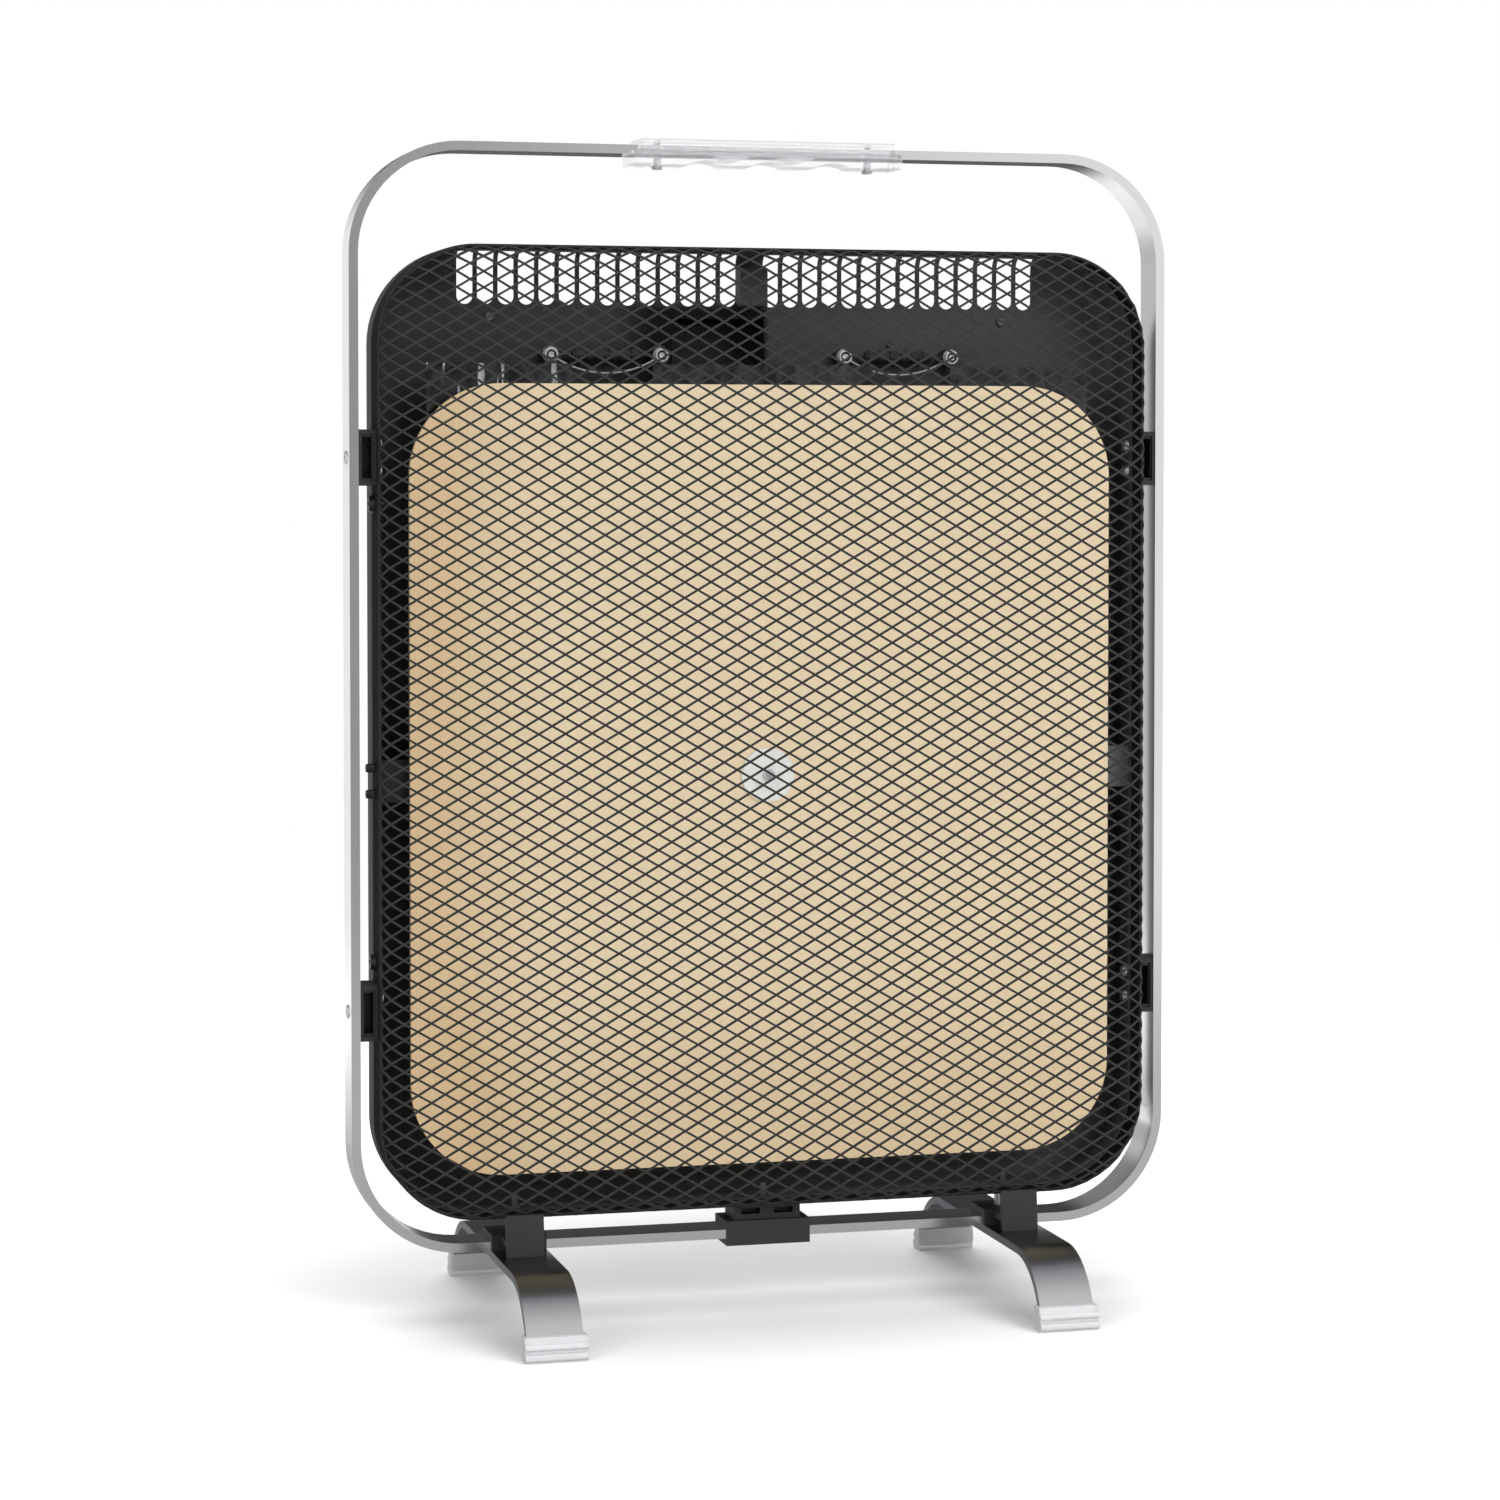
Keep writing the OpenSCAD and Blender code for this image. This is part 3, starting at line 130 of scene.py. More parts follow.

# Zones of the finishes, in metres: foot strips from bright to painted shade, grille wall with painted shade and more
# roughness, rear shell's painted light on its right side and its painted black shadow left of the middle, foil's
# painted highlights, warm edges of the heating plate, painted light at the cross-bar's right end
STRIP_SHADE_Z = (0.014, 0.034)
WALL_Y = (-0.0185, -0.0165)
SHELL_PAINTED_LIGHT_X = (-0.1, 0.16)
SHELL_SHADOW_X = ((-0.085, -0.052), (0.008, 0.012))
SHELL_SHADOW_Z = ((0.485, 0.5), (0.547, 0.553))
SHELL_SHADOW_Y = (0.0, 0.02)
FOIL_HIGHLIGHT_X = (-0.125, -0.1)
FOIL_HIGHLIGHT_Z = (0.47, 0.5)
WARM_X = (-0.2, -0.11)
WARM_Z = (0.1, 0.2)
BAR_PAINTED_LIGHT_X = (-0.15, 0.17)

# Marks on the control box and its rockers, in millimetres; ticks and pointer: near end, far end, width; the line on
# a rocker: start, step, steps, half width; the ring: inner and outer radius, height, sides
DIAL_AT = (-38.0, 495.0)
DIAL_STEPS = 6
DIAL_SWEEP = 270.0
TICK = (21.4, 24.0, 0.5)
FIGURE_R = 28.0
FIGURE_SIZE = 5.2
FIGURE_WELD = 0.0001
BOX_FACE_Y = 66.0
POINTER_Y = 81.0
POINTER = (3.2, 13.8, 1.3)
ROCKER_X = 34.0
ROCKER_Z = {"low_rocker": 472.0, "high_rocker": 506.0}
ROCKER_Y = 62.6
ROCKER_DISH = (14.0, 10.0)
ROCKER_LINE = (3.4, 1.0, 3, 0.4)
ROCKER_RING = (1.1, 1.7, -4.9, 20)
MARK_T = 0.08
MARK_SINK = 0.02


# Camera, lights and stage

def make_camera():
    data = bpy.data.cameras.new("camera")
    data.sensor_width = 36
    data.lens = CAMERA_LENS
    data.shift_y = CAMERA_SHIFT
    data.clip_end = 50
    camera = bpy.data.objects.new("camera", data)
    camera.location = CAMERA_AT
    camera.rotation_euler = (CAMERA_TILT, 0, -CAMERA_TURN)
    bpy.context.scene.collection.objects.link(camera)
    bpy.context.scene.camera = camera


def add_light(name, at, target, size, watts):
    """Area light aimed at a point and left out of reflections, which show the world's room instead."""
    data = bpy.data.lights.new(name, "AREA")
    data.shape = "RECTANGLE"
    data.size, data.size_y = size
    data.energy = watts
    light = bpy.data.objects.new(name, data)
    light.location = at
    light.visible_glossy = False
    light.rotation_euler = (Vector(target) - Vector(at)).to_track_quat("-Z", "Y").to_euler()
    bpy.context.scene.collection.objects.link(light)


def make_world():
    """White to the camera and through clear pieces, a grey room with dark sides in reflections, even fill."""
    world = bpy.data.worlds.new("studio")
    bpy.context.scene.world = world
    world.use_nodes = True
    world.node_tree.nodes.clear()
    graph = Graph(world.node_tree)
    path = graph.node("ShaderNodeLightPath")
    around = graph.node("ShaderNodeSeparateXYZ", {0: graph.node("ShaderNodeTexCoord").outputs["Generated"]})
    east, north, up = (Socket(graph, around.outputs[axis]) for axis in range(3))
    room = ROOM_LEVEL
    for (to_east, to_north), fade, loss in DARK_SIDES:
        room = room - (east * to_east + north * to_north).step(*fade) * loss
    behind, above, loss = DARK_ABOVE
    room = room * (1 - north.step(*behind) * up.step(*above) * loss)
    shown = Socket(graph, path.outputs["Is Camera Ray"]) + Socket(graph, path.outputs["Is Transmission Ray"])
    glossy = Socket(graph, path.outputs["Is Glossy Ray"])
    white = graph.node("ShaderNodeBackground", {"Color": (1, 1, 1, 1)})
    mirrored = graph.node("ShaderNodeBackground", {"Color": (1, 1, 1, 1), "Strength": room})
    ambient = graph.node("ShaderNodeBackground", {"Color": AMBIENT})
    first = graph.node("ShaderNodeMixShader", {0: glossy, 1: ambient.outputs[0], 2: mirrored.outputs[0]})
    last = graph.node("ShaderNodeMixShader", {0: shown, 1: first.outputs[0], 2: white.outputs[0]})
    graph.node("ShaderNodeOutputWorld", {0: last.outputs[0]})


def make_floor(finish):
    mesh = bpy.data.meshes.new("floor")
    bm = bmesh.new()
    bmesh.ops.create_circle(bm, cap_ends=True, segments=96, radius=FLOOR_R)
    bm.to_mesh(mesh)
    bm.free()
    floor = bpy.data.objects.new("floor", mesh)
    bpy.context.scene.collection.objects.link(floor)
    mesh.materials.append(finish)


# Material graphs

class Socket:
    """A value in a material's graph, with arithmetic."""

    def __init__(self, graph, out):
        self.graph = graph
        self.out = out

    def _math(self, operation, first, second=0):
        node = self.graph.node("ShaderNodeMath", {0: first, 1: second}, operation=operation)
        return Socket(self.graph, node.outputs[0])

    def __add__(self, other):
        return self._math("ADD", self, other)

    def __sub__(self, other):
        return self._math("SUBTRACT", self, other)

    def __rsub__(self, other):
        return self._math("SUBTRACT", other, self)

    def __mul__(self, other):
        return self._math("MULTIPLY", self, other)

    def __pow__(self, other):
        return self._math("POWER", self, other)

    def absolute(self):
        return self._math("ABSOLUTE", self)

    def step(self, low, high):
        """0 below low and 1 above high, with a smooth step between them."""
        node = self.graph.node(
            "ShaderNodeMapRange", {"Value": self, "From Min": low, "From Max": high}, interpolation_type="SMOOTHSTEP"
        )
        return Socket(self.graph, node.outputs[0])

    def between(self, rise, fall):
        """1 between two smooth steps, one up and one down."""
        return self.step(*rise) * (1 - self.step(*fall))


class Graph:
    """A node tree that is built by naming each node's inputs."""

    def __init__(self, tree):
        self.tree = tree

    def node(self, kind, inputs=None, **settings):
        node = self.tree.nodes.new(kind)
        for key, value in settings.items():
            setattr(node, key, value)
        for key, value in (inputs or {}).items():
            self.feed(node.inputs[key], value)
        return node

    def feed(self, target, value):
        if isinstance(value, Socket):
            self.tree.links.new(value.out, target)
        elif isinstance(value, bpy.types.NodeSocket):
            self.tree.links.new(value, target)
        else:
            target.default_value = value


class Finish(Graph):
    """A procedural material built round one principled shader."""

    def __init__(self, name, **constants):
        self.material = bpy.data.materials.new(name)
        self.material.use_nodes = True
        super().__init__(self.material.node_tree)
        self.shader = self.tree.nodes["Principled BSDF"]
        self.coords = self.tree.nodes.new("ShaderNodeTexCoord").outputs["Object"]
        for key, value in constants.items():
            self.put(key.replace("_", " ").title().replace("Ior", "IOR"), value)

    def put(self, name, value):
        self.feed(self.shader.inputs[name], value)

    def along(self, axis):
        """One object coordinate, in metres."""
        return Socket(self, self.node("ShaderNodeSeparateXYZ", {0: self.coords}).outputs[axis])

    def noise(self, scale, detail=3.0, rough=0.5, stretch=(1, 1, 1)):
        place = self.node("ShaderNodeMapping", {"Vector": self.coords, "Scale": stretch})
        node = self.node(
            "ShaderNodeTexNoise",
            {"Vector": place.outputs[0], "Scale": scale, "Detail": detail, "Roughness": rough},
        )
        return Socket(self, node.outputs[0])

    def cells(self, scale):
        node = self.node("ShaderNodeTexVoronoi", {"Vector": self.coords, "Scale": scale})
        return Socket(self, node.outputs["Distance"])

    def blend(self, factor, first, second):
        return self.mix_colour(factor, (*first, 1), (*second, 1))

    def mix_colour(self, factor, first, second):
        node = self.node("ShaderNodeMix", {0: factor, 6: first, 7: second}, data_type="RGBA")
        return Socket(self, node.outputs[2])

    def bump(self, height, depth_mm):
        node = self.node("ShaderNodeBump", {"Height": height, "Distance": depth_mm * MM, "Strength": 1.0})
        self.put("Normal", node.outputs[0])


def mottle(finish, tones, scale, painted_highlight=(1, 1, 1)):
    """Colour between two tones from a broad and a fine noise, and the fine noise itself."""
    broad = finish.noise(scale * 0.04, 4, 0.6)
    fine = finish.noise(scale, 3, 0.6, painted_highlight)
    return finish.blend(broad * 0.6 + fine * 0.4, *tones), fine


def grain(finish, tones, rough, depth_mm, scale=900, painted_highlight=(1, 1, 1)):
    """Plain finish: mottled colour, roughness between two values and a fine bump."""
    colour, fine = mottle(finish, tones, scale, painted_highlight)
    finish.put("Base Color", colour)
    finish.put("Roughness", fine * (rough[1] - rough[0]) + rough[0])
    finish.bump(fine, depth_mm)
    return finish.material


def satin_metal():
    """Satin bar of the loop."""
    finish = Finish("satin_metal", metallic=1.0)
    return grain(finish, ((0.74, 0.74, 0.735), (0.8, 0.8, 0.795)), (0.15, 0.2), 0.002)


def strip_metal():
    """Satin metal of the foot strips, with painted shade that turns them dark grey towards the flat top under the
    body.
    """
    finish = Finish("strip_metal", metallic=1.0)
    fine = finish.noise(900, 3, 0.6)
    light = finish.blend(fine, (0.5, 0.5, 0.497), (0.56, 0.56, 0.556))
    # Painted shade: dark grey towards the flat top, where the strips sit under the body.
    finish.put("Base Color", finish.mix_colour(finish.along(2).step(*STRIP_SHADE_Z), light, (0.2, 0.21, 0.23, 1)))
    finish.put("Roughness", fine * 0.06 + 0.27)
    return finish.material


def clear_grip():
    """Clear moulded halves round the bar: low refraction and half see-through, so that the bar shows calmly."""
    finish = Finish("clear_grip", transmission_weight=0.7, ior=1.2, alpha=0.4)
    cloud = finish.noise(70, 4, 0.6)
    finish.put("Base Color", finish.blend(cloud, (0.86, 0.88, 0.92), (0.94, 0.95, 0.97)))
    finish.put("Roughness", cloud * 0.1 + 0.05)
    finish.bump(finish.noise(110, 2, 0.5), 0.01)
    return finish.material


def clear_caps():
    """Milky clear caps on the strips' ends."""
    finish = Finish("clear_caps", transmission_weight=0.45, ior=1.46)
    cloud = finish.noise(120, 4, 0.6)
    finish.put("Base Color", finish.blend(cloud, (0.80, 0.80, 0.825), (0.87, 0.87, 0.885)))
    finish.put("Roughness", cloud * 0.15 + 0.28)
    finish.bump(finish.noise(500, 2, 0.5), 0.04)
    return finish.material


def black_moulded():
    return grain(Finish("black_moulded"), ((0.014, 0.014, 0.016), (0.026, 0.026, 0.028)), (0.42, 0.6), 0.03, 1400)


def gloss_black():
    return grain(Finish("gloss_black"), ((0.012, 0.012, 0.013), (0.02, 0.02, 0.021)), (0.14, 0.24), 0.006)


def dark_coat():
    finish = Finish("dark_coat", metallic=0.5)
    return grain(finish, ((0.03, 0.03, 0.032), (0.06, 0.06, 0.062)), (0.3, 0.45), 0.01)


def bright_plate():
    finish = Finish("bright_plate", metallic=0.85)
    return grain(finish, ((0.62, 0.62, 0.62), (0.74, 0.74, 0.735)), (0.28, 0.42), 0.008)


def black_powder():
    """Black powder coat, rougher on the walls than on the face, with painted shade that makes the walls darker."""
    finish = Finish("black_powder", specular_ior_level=0.25)
    fine = finish.noise(1100, 3, 0.6)
    wall_shade_and_roughness = finish.along(1).step(*WALL_Y)
    coat = finish.blend(fine, (0.018, 0.0178, 0.0174), (0.029, 0.0286, 0.028))
    # Painted shade: the walls get a near-black colour, darker than the coat on the face.
    finish.put("Base Color", finish.mix_colour(wall_shade_and_roughness, coat, (0.007, 0.007, 0.007, 1)))
    finish.put("Roughness", fine * 0.15 + wall_shade_and_roughness * 0.35 + 0.45)
    finish.bump(fine, 0.03)
    return finish.material


def grey_powder():
    """Dark powder coat of the rear shell with fine orange peel, with painted light that makes it lighter to the right
    and a painted black shadow inside.
    """
    finish = Finish("grey_powder", specular_ior_level=0.15)
    coat, fine = mottle(finish, ((0.034, 0.034, 0.0345), (0.048, 0.048, 0.0485)), 800)
    across, deep, up = (finish.along(axis) for axis in range(3))
    # Painted light: the shell gets lighter towards its right side.
    coat = finish.mix_colour(across.step(*SHELL_PAINTED_LIGHT_X) * 0.8, coat, (0.078, 0.078, 0.078, 1))
    # Painted shadow: a black patch inside, left of the middle, between the links.
    painted_shadow = across.between(*SHELL_SHADOW_X) * up.between(*SHELL_SHADOW_Z) * deep.step(*SHELL_SHADOW_Y)
    finish.put("Base Color", finish.mix_colour(painted_shadow, coat, (0.004, 0.004, 0.004, 1)))
    finish.put("Roughness", fine * 0.15 + 0.45)
    finish.bump(fine, 0.05)
    return finish.material


def mill_sheet():
    """Rolled sheet with upright streaks."""
    finish = Finish("mill_sheet", metallic=1.0)
    return grain(finish, ((0.13, 0.135, 0.15), (0.2, 0.205, 0.22)), (0.34, 0.5), 0.01, 700, (1, 1, 0.06))


def crumpled_foil():
    """Foil of the reflector, painted dark as shade and darkest in its creases, with painted highlights on upright
    folds at its upper left.
    """
    finish = Finish("crumpled_foil", metallic=1.0)
    creases_and_shade = finish.cells(90)
    fine = finish.noise(420, 4, 0.65)
    folds = finish.noise(230, 2, 0.5, (1, 1, 0.12)).step(0.58, 0.63)
    # Painted highlight: bright foil colour on upright folds at the upper left.
    painted_highlight = (1 - finish.along(0).step(*FOIL_HIGHLIGHT_X)) * finish.along(2).step(*FOIL_HIGHLIGHT_Z) * folds
    # Painted shade: the whole foil is dark, darkest in the hollows of the creases.
    dark = finish.blend(creases_and_shade, (0.035, 0.036, 0.039), (0.1, 0.102, 0.108))
    finish.put("Base Color", finish.mix_colour(painted_highlight, dark, (0.85, 0.85, 0.87, 1)))
    finish.put("Roughness", fine * 0.16 + 0.12)
    finish.bump(creases_and_shade * 0.7 + fine * 0.3, 0.5)
    return finish.material


def tan_mineral():
    """Pressed mineral sheet: pale flakes in the middle, warmer towards its left and lower edges, dull."""
    finish = Finish("tan_mineral")
    flakes = finish.cells(420)
    broad = finish.noise(14, 4, 0.6)
    fine = finish.noise(700, 3, 0.7)
    tone = flakes * 0.3 + broad * 0.45 + fine * 0.25
    pale = finish.blend(tone, (0.90, 0.75, 0.52), (0.80, 0.65, 0.43))
    warm = finish.blend(tone, (0.76, 0.56, 0.33), (0.66, 0.48, 0.27))
    edge = (1 - finish.along(0).step(*WARM_X)) + (1 - finish.along(2).step(*WARM_Z)) * 0.5
    finish.put("Base Color", finish.mix_colour(edge, pale, warm))
    finish.put("Roughness", fine * 0.15 + 0.66)
    finish.bump(flakes * 0.6 + fine * 0.4, 0.06)
    return finish.material


def ceramic():
    return grain(Finish("ceramic"), ((0.62, 0.61, 0.57), (0.74, 0.73, 0.69)), (0.5, 0.7), 0.03, 800)


def dark_sleeve():
    """Braided sleeve: crossing threads round the lead."""
    finish = Finish("dark_sleeve", roughness=0.75)
    threads = finish.noise(1600, 2, 0.5, (1, 1, 0.3))
    finish.put("Base Color", finish.blend(threads, (0.012, 0.012, 0.013), (0.034, 0.034, 0.036)))
    finish.bump(threads, 0.1)
    return finish.material


def red_lens():
    """Clear red moulding of the pilot lamp."""
    finish = Finish("red_lens", transmission_weight=0.5, ior=1.49, roughness=0.12)
    finish.put("Base Color", finish.blend(finish.noise(300), (0.62, 0.03, 0.02), (0.75, 0.07, 0.05)))
    return finish.material


def dull_steel():
    finish = Finish("dull_steel", metallic=0.8)
    return grain(finish, ((0.12, 0.12, 0.125), (0.2, 0.2, 0.205)), (0.3, 0.42), 0.01)


def pale_zinc():
    finish = Finish("pale_zinc", metallic=0.1)
    return grain(finish, ((0.82, 0.835, 0.8), (0.9, 0.915, 0.88)), (0.34, 0.46), 0.01)


def dark_sheet():
    """Dark sheet of the cross-bar, with painted light that makes it lighter towards its right end."""
    finish = Finish("dark_sheet", metallic=0.6)
    fine = finish.noise(900, 3, 0.6)
    # Painted light: the bar gets lighter towards its right end.
    tone = finish.along(0).step(*BAR_PAINTED_LIGHT_X) * 0.8 + fine * 0.2
    finish.put("Base Color", finish.blend(tone, (0.015, 0.015, 0.016), (0.2, 0.21, 0.22)))
    finish.put("Roughness", fine * 0.15 + 0.35)
    return finish.material


def terminal_plate():
    """Bright ring and screw head with painted shade in the recess between them, round each of the four terminals."""
    finish = Finish("terminal_plate", metallic=0.55)
    aside = ((finish.along(0).absolute() - LINK_X * MM).absolute() - LINK_HALF * MM) * (1 / MM)
    above = (finish.along(2) - LINK_Z * MM) * (1 / MM)
    # Painted shade: a dark ring where the recess between head and ring would be in shade.
    gap_shade = ((aside * aside + above * above) ** 0.5).between(*TERMINAL_GAP_SHADE)
    bright = finish.blend(finish.noise(900), (0.78, 0.78, 0.78), (0.92, 0.92, 0.915))
    finish.put("Base Color", finish.mix_colour(gap_shade, bright, (0.03, 0.03, 0.03, 1)))
    finish.put("Roughness", finish.noise(1500) * 0.15 + 0.22)
    return finish.material


def white_mark():
    return grain(Finish("white_mark"), ((0.7, 0.7, 0.7), (0.8, 0.8, 0.8)), (0.4, 0.5), 0.01)


def floor_white():
    """White floor that keeps the object's soft shadow, has a soft shadow painted under the body and fades into the
    white background.
    """
    finish = Finish("floor_white", specular_ior_level=0.0, roughness=0.9, emission_strength=1.0)
    finish.put("Emission Color", (FLOOR_GLOW, FLOOR_GLOW, FLOOR_GLOW, 1))
    mirrored = Socket(finish, finish.node("ShaderNodeLightPath").outputs["Is Glossy Ray"])
    east, north = finish.along(0), finish.along(1)
    wide, deep = east * (1 / SHADE_HALF[0]), (north - SHADE_Y) * (1 / SHADE_HALF[1])
    # Painted shadow: a soft dark ellipse under the body.
    shade = 1 - (1 - (wide * wide + deep * deep).step(0, 1)) * SHADE_DEPTH
    fade, loss = FLOOR_MIRRORED
    tone = (1 - mirrored * (1 - north.step(*fade)) * loss) * shade
    finish.put("Base Color", finish.mix_colour(finish.noise(3), tone * FLOOR_TONES[0], tone * FLOOR_TONES[1]))
    finish.put("Alpha", 1 - (east * east + north * north).step(FADE[0] ** 2, FADE[1] ** 2))
    return finish.material


# Pieces: every maker works in millimetres

def finish_piece(bm, name, body, material):
    """Turns a bmesh, in millimetres, into a piece that rides on a body."""
    bmesh.ops.scale(bm, verts=bm.verts, vec=(MM, MM, MM))
    bmesh.ops.recalc_face_normals(bm, faces=bm.faces)
    mesh = bpy.data.meshes.new(name)
    bm.to_mesh(mesh)
    bm.free()
    piece = bpy.data.objects.new(name, mesh)
    bpy.context.scene.collection.objects.link(piece)
    mesh.materials.append(material)
    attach(piece, body)
    return piece


def open_edges(quads):
    """Edges that only one quad uses, in that quad's direction."""
    uses = {}
    for quad in quads:
        for k in range(4):
            edge = (quad[k], quad[(k + 1) % 4])
            uses.setdefault(frozenset(edge), []).append(edge)
    return [edges[0] for edges in uses.values() if len(edges) == 1]


# Grille: a diamond sheet laid out flat, then bent over the body's rolled edge

def split(x, z):
    """Nearest point of the rectangle through the corners' middles, and the way from it to a point."""
    half_x = BODY_W / 2 - BODY_R
    half_z = BODY_H / 2 - BODY_R
    core = Vector((max(-half_x, min(half_x, x)), max(-half_z, min(half_z, z))))
    return core, Vector((x, z)) - core


def bend(x, z, depth):
    """Point of the bent sheet for a point of the flat one, at a depth under its outer face."""
    core, away = split(x, z)
    reach = away.length
    flat = BODY_R - ROLL_R
    if reach <= flat:
        return Vector((x, BODY_FRONT + depth, z))
    away /= reach
    arc = (reach - flat) / ROLL_R
    turn = min(arc, math.pi / 2)
    radius = ROLL_R - depth
    out = flat + radius * math.sin(turn)
    y = BODY_FRONT + ROLL_R - radius * math.cos(turn) + max(0.0, arc - math.pi / 2) * ROLL_R
    return Vector((core.x + away.x * out, y, core.y + away.y * out))


def sheet_reach():
    """Reach of the flat sheet past the corners' middles, up to the rear rim."""
    return BODY_R - ROLL_R + ROLL_R * math.pi / 2 + WALL_END - BODY_FRONT - ROLL_R


def pull_in(x, z, limit):
    """Moves a point of the flat sheet on to the rim's inner line if it lies past it."""
    core, away = split(x, z)
    if away.length <= limit:
        return x, z
    away *= limit / away.length
    return core.x + away.x, core.y + away.y


def make_grille(finish):
    bm = bmesh.new()
    limit = sheet_reach() - RIM_W
    shrink = 1 - STRAND_W / (DIAMOND_H * math.cos(math.atan(DIAMOND_H / DIAMOND_W)))
    half_w = DIAMOND_W / 2
    half_h = DIAMOND_H / 2
    corners = ((-1, 0), (0, -1), (1, 0), (0, 1))
    columns = math.ceil((BODY_W / 2 + LAID_OUT) / half_w)
    rows = math.ceil((BODY_H / 2 + LAID_OUT) / half_h)
    shared = {}
    diamonds = []

    def outer(spot, layer):
        if (spot, layer) not in shared:
            x, z = pull_in(spot[0] * half_w, spot[1] * half_h, limit)
            shared[spot, layer] = bm.verts.new(bend(x, z, layer * SHEET_T))
        return shared[spot, layer]

    for i in range(-columns, columns + 1):
        for j in range(-rows, rows + 1):
            x, z = i * half_w, j * half_h
            if (i + j) % 2 == 0 or pull_in(x, z, limit - half_h * 0.5) != (x, z):
                continue
            spots = [(i + a, j + b) for a, b in corners]
            diamonds.append(spots)
            holes = []
            for a, b in corners:
                hx, hz = pull_in(x + a * half_w * shrink, z + b * half_h * shrink, limit - HOLE_LAP)
                holes.append([bm.verts.new(bend(hx, hz, layer * SHEET_T)) for layer in (0, 1)])
            for k in range(4):
                n = (k + 1) % 4
                bm.faces.new((outer(spots[k], 0), outer(spots[n], 0), holes[n][0], holes[k][0]))
                bm.faces.new((outer(spots[n], 1), outer(spots[k], 1), holes[k][1], holes[n][1]))
                bm.faces.new((holes[k][0], holes[n][0], holes[n][1], holes[k][1]))
    for first, second in open_edges(diamonds):
        bm.faces.new((outer(second, 0), outer(first, 0), outer(first, 1), outer(second, 1)))
    add_rim(bm, limit - RIM_LAP)
    bmesh.ops.translate(bm, verts=bm.verts, vec=(0, 0, BODY_MID_Z))
    return finish_piece(bm, "true_grille", "heater", finish)


def add_rim(bm, start):
    """Closed band along the sheet's rear rim, from a reach on."""
    reach = sheet_reach()
    half_x = BODY_W / 2 - BODY_R
    half_z = BODY_H / 2 - BODY_R
    spots = []
    for quarter, (side_x, side_z) in enumerate(((1, 1), (-1, 1), (-1, -1), (1, -1))):
        for n in range(RIM_STEPS + 1):
            angle = math.pi / 2 * (quarter + n / RIM_STEPS)
            spots.append((side_x * half_x, side_z * half_z, math.cos(angle), math.sin(angle)))
    loops = []
    for distance, depth in ((start, 0), (reach, 0), (reach, SHEET_T), (start, SHEET_T)):
        loops.append([bm.verts.new(bend(cx + c * distance, cz + s * distance, depth)) for cx, cz, c, s in spots])
    for first, second in zip(loops, loops[1:] + loops[:1]):
        for n in range(len(spots)):
            m = (n + 1) % len(spots)
            bm.faces.new((first[n], first[m], second[m], second[n]))


# Reflector: crumpled foil in the place of the plain sheet

def make_foil(finish):
    low, high = (Vector(corner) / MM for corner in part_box("reflector"))
    width, height = high.x - low.x, high.z - low.z
    middle = (low + high) / 2
    lead_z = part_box("rear_plate")[1][2] / MM - LEAD_AT[1]
    bm = bmesh.new()
    bmesh.ops.create_grid(
        bm, x_segments=round(width / FOIL_CELL), y_segments=round(height / FOIL_CELL), size=0.5,
        matrix=Matrix.Rotation(math.pi / 2, 4, "X")
    )
    bmesh.ops.scale(bm, verts=bm.verts, vec=(width, 1, height))
    bmesh.ops.translate(bm, verts=bm.verts, vec=(middle.x, high.y - FOIL_T, middle.z))
    for vert in bm.verts:
        ridges = (share * abs(noise.noise(vert.co * pitch + Vector(shift))) for pitch, share, shift in FOIL_WAVES)
        vert.co.y -= FOIL_FOLD * sum(ridges)
    pierced = []
    for face in bm.faces:
        spot = face.calc_center_median()
        pin = math.hypot(abs(spot.x) - LEAD_AT[0], spot.z - lead_z) < FOIL_CELL * LEAD_REACH
        notch = abs(abs(spot.x) - LINK_X) < NOTCH_HALF and spot.z > NOTCH_Z
        if pin or notch:
            pierced.append(face)
    bmesh.ops.delete(bm, geom=pierced, context="FACES")
    bmesh.ops.recalc_face_normals(bm, faces=bm.faces)
    bmesh.ops.solidify(bm, geom=bm.faces, thickness=FOIL_T)
    return finish_piece(bm, "crumpled_foil", "heater", finish)


# Marks on the control box and the rockers

def thin_plate(bm, quads, place):
    """Closed thin plate from flat quads that share corners; place gives a point for a corner and a lift."""
    corners = {}
    for quad in quads:
        for spot in quad:
            if spot not in corners:
                corners[spot] = [bm.verts.new(place(*spot, lift)) for lift in (-MARK_SINK, MARK_T)]
        bm.faces.new([corners[spot][1] for spot in quad])
        bm.faces.new([corners[spot][0] for spot in reversed(quad)])
    for first, second in open_edges(quads):
        bm.faces.new((corners[second][1], corners[first][1], corners[first][0], corners[second][0]))


def beside_dial(y):
    """Place for thin_plate: a point aside of and above the dial's middle, at a depth."""
    return lambda aside, above, lift: Vector((DIAL_AT[0] + aside, y + lift, DIAL_AT[1] + above))


def make_ticks(finish):
    """Ticks round the dial, long ones at the figures and short ones between them."""
    bm = bmesh.new()
    near, long, width = TICK
    for n in range(2 * DIAL_STEPS + 1):
        angle = math.radians(DIAL_SWEEP * n / (2 * DIAL_STEPS))
        out = Vector((math.sin(angle), math.cos(angle)))
        along = Vector((math.cos(angle), -math.sin(angle))) * width / 2
        far = long if n % 2 == 0 else (near + long) / 2
        quad = [tuple(out * reach + along * side) for reach, side in ((near, -1), (far, -1), (far, 1), (near, 1))]
        thin_plate(bm, [quad], beside_dial(BOX_FACE_Y))
    return finish_piece(bm, "dial_ticks", "heater", finish)


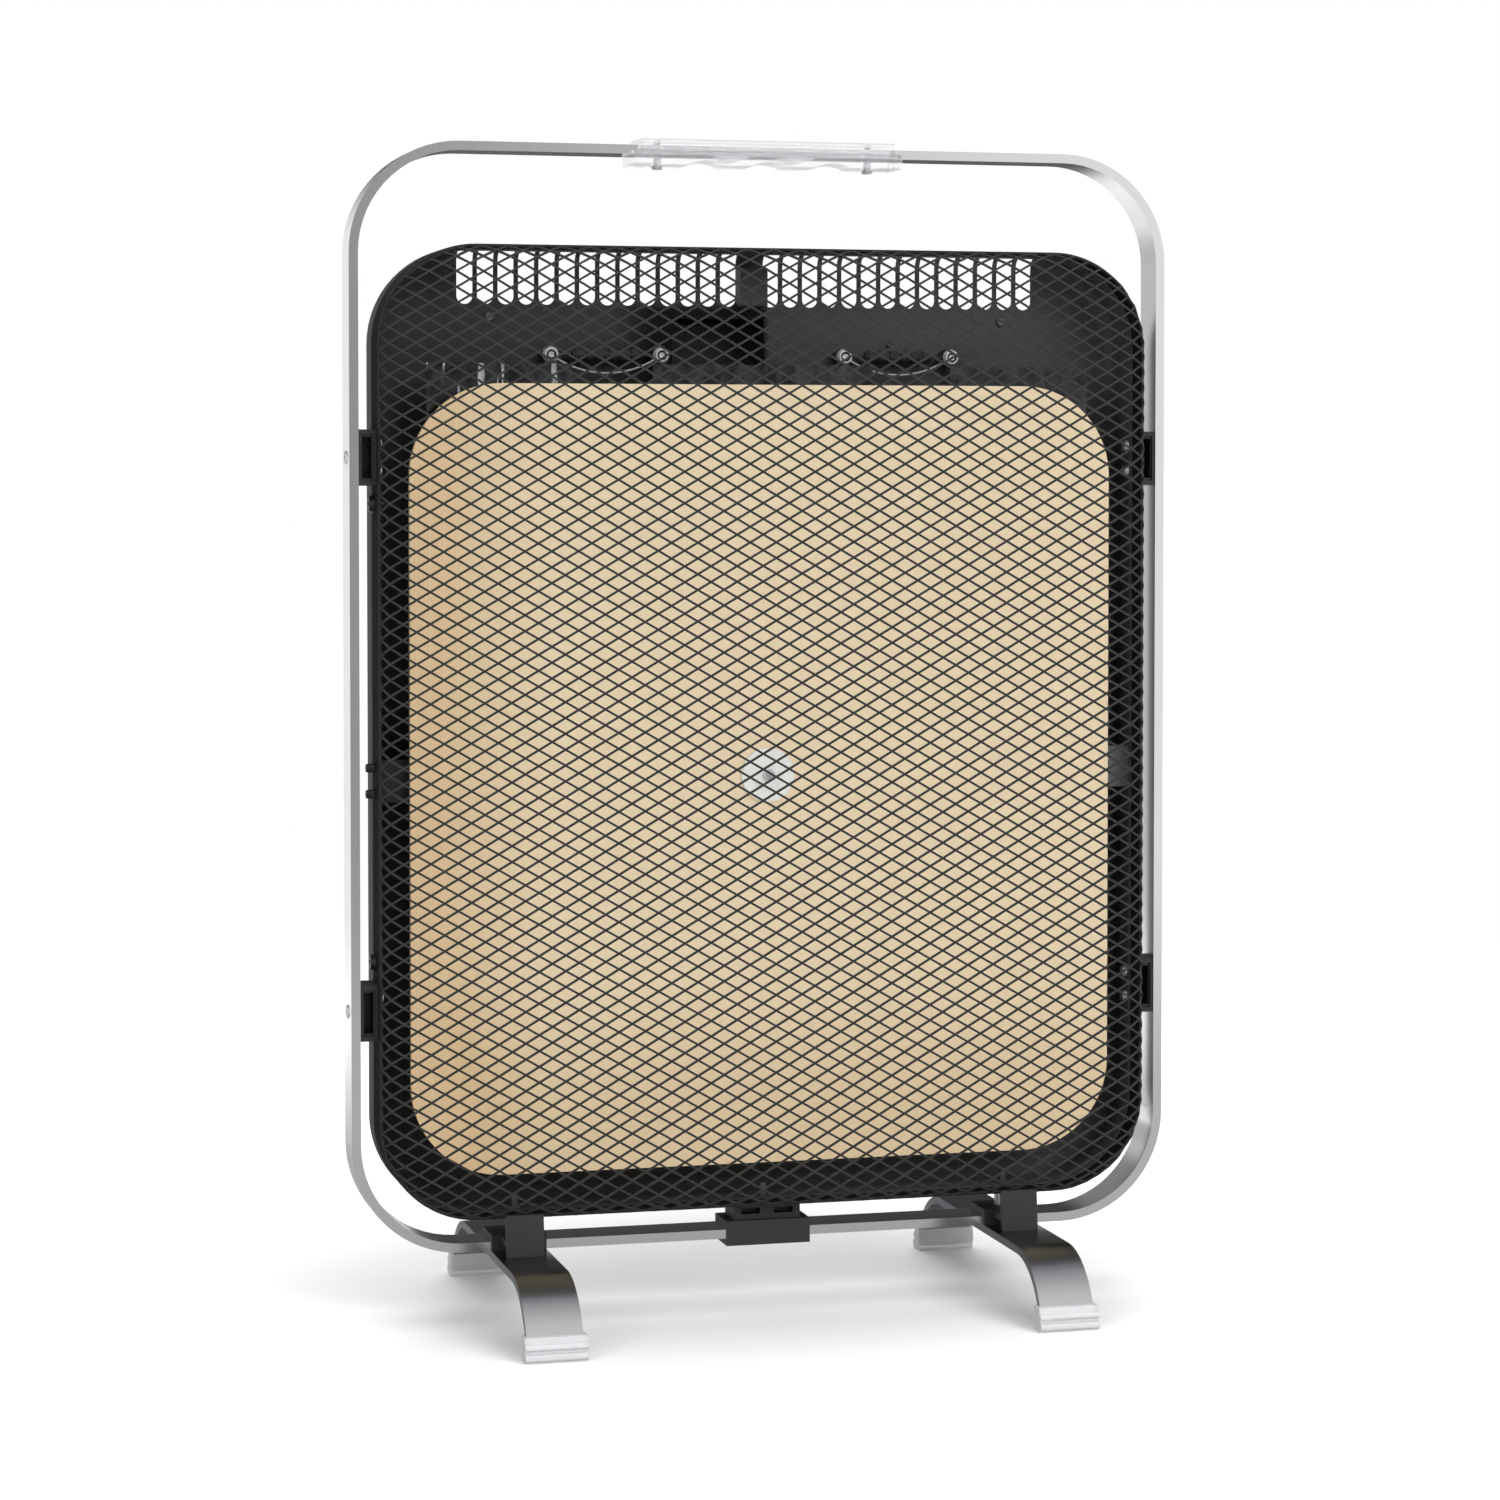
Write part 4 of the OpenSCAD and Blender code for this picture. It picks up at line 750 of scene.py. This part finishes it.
def make_pointer(finish):
    """Light line on the floor of the dial's groove."""
    bm = bmesh.new()
    near, far, width = POINTER
    quad = [(-width / 2, near), (-width / 2, far), (width / 2, far), (width / 2, near)]
    thin_plate(bm, [quad], beside_dial(POINTER_Y))
    return finish_piece(bm, "dial_pointer", "dial", finish)


def make_figures(finish):
    """Figures 0 to 6 round the dial, from the built-in font."""
    bm = bmesh.new()
    upright = Matrix.Rotation(math.pi, 4, "Z") @ Matrix.Rotation(math.pi / 2, 4, "X")
    for n in range(DIAL_STEPS + 1):
        angle = math.radians(DIAL_SWEEP * n / DIAL_STEPS)
        curve = bpy.data.curves.new("figure", "FONT")
        curve.body = str(n)
        curve.size = FIGURE_SIZE
        curve.extrude = MARK_T / 2
        curve.align_x = "CENTER"
        curve.align_y = "CENTER"
        holder = bpy.data.objects.new("figure", curve)
        mesh = bpy.data.meshes.new_from_object(holder)
        spot = (DIAL_AT[0] + FIGURE_R * math.sin(angle), BOX_FACE_Y, DIAL_AT[1] + FIGURE_R * math.cos(angle))
        mesh.transform(Matrix.Translation(spot) @ upright)
        bm.from_mesh(mesh)
        bpy.data.meshes.remove(mesh)
        bpy.data.objects.remove(holder)
        bpy.data.curves.remove(curve)
    bmesh.ops.remove_doubles(bm, verts=bm.verts, dist=FIGURE_WELD)
    return finish_piece(bm, "dial_figures", "heater", finish)


def make_rocker_marks(finish, body):
    """Line above and ring below on a rocker's dished face."""
    def place(aside, above, lift):
        dish = ROCKER_DISH[0] - math.sqrt(ROCKER_DISH[1] ** 2 - above * above)
        return Vector((ROCKER_X + aside, ROCKER_Y + dish + lift, ROCKER_Z[body] + above))

    bm = bmesh.new()
    start, step, steps, half = ROCKER_LINE
    heights = [start + step * n for n in range(steps + 1)]
    line = [[(-half, low), (-half, high), (half, high), (half, low)] for low, high in zip(heights, heights[1:])]
    inner, outer, middle, sides = ROCKER_RING
    spots = []
    for n in range(sides):
        c, s = math.cos(math.tau * n / sides), math.sin(math.tau * n / sides)
        spots.append(((c * inner, s * inner + middle), (c * outer, s * outer + middle)))
    ring = [[near[0], near[1], far[1], far[0]] for near, far in zip(spots, spots[1:] + spots[:1])]
    thin_plate(bm, line, place)
    thin_plate(bm, ring, place)
    return finish_piece(bm, body + "_marks", body, finish)


# Finishes for the CAD nodes, by the record's material slots

def paint_nodes():
    finishes = {
        "loop_metal": satin_metal(),
        "clear_grip": clear_grip(),
        "clear_caps": clear_caps(),
        "black_plastic": black_moulded(),
        "gloss_black": gloss_black(),
        "dark_screws": dark_coat(),
        "bright_screws": bright_plate(),
        "grille_black": black_powder(),
        "shell_grey": grey_powder(),
        "plain_sheet": mill_sheet(),
        "tan_plate": tan_mineral(),
        "ceramic": ceramic(),
        "lead_sleeve": dark_sleeve(),
        "lamp_red": red_lens(),
    }
    steel, strip = dull_steel(), strip_metal()
    special = {
        "grip_screws": finishes["bright_screws"],
        "upright_bolts": steel,
        "shell_rivets": steel,
        "centre_washer": pale_zinc(),
        "terminal_screws": terminal_plate(),
        "crossbar": dark_sheet(),
        "foot_strip_left": strip,
        "foot_strip_right": strip,
        "fuse_posts": finishes["black_plastic"],
    }
    for entry in frame["record"]["subparts"]:
        node = frame["nodes"][entry["node"]]
        node.data.materials.clear()
        node.data.materials.append(special.get(entry["node"]) or finishes[entry["material_slot"]])
    return finishes


make_camera()
for light in LIGHTS:
    add_light(*light)
make_world()
make_floor(floor_white())
finishes = paint_nodes()
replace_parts(make_grille(finishes["grille_black"]), "front_grille")
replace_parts(make_foil(crumpled_foil()), "reflector")
mark = white_mark()
make_ticks(mark)
make_figures(mark)
make_pointer(mark)
for rocker in ROCKER_Z:
    make_rocker_marks(mark, rocker)

bpy.context.scene.view_settings.view_transform = "Standard"
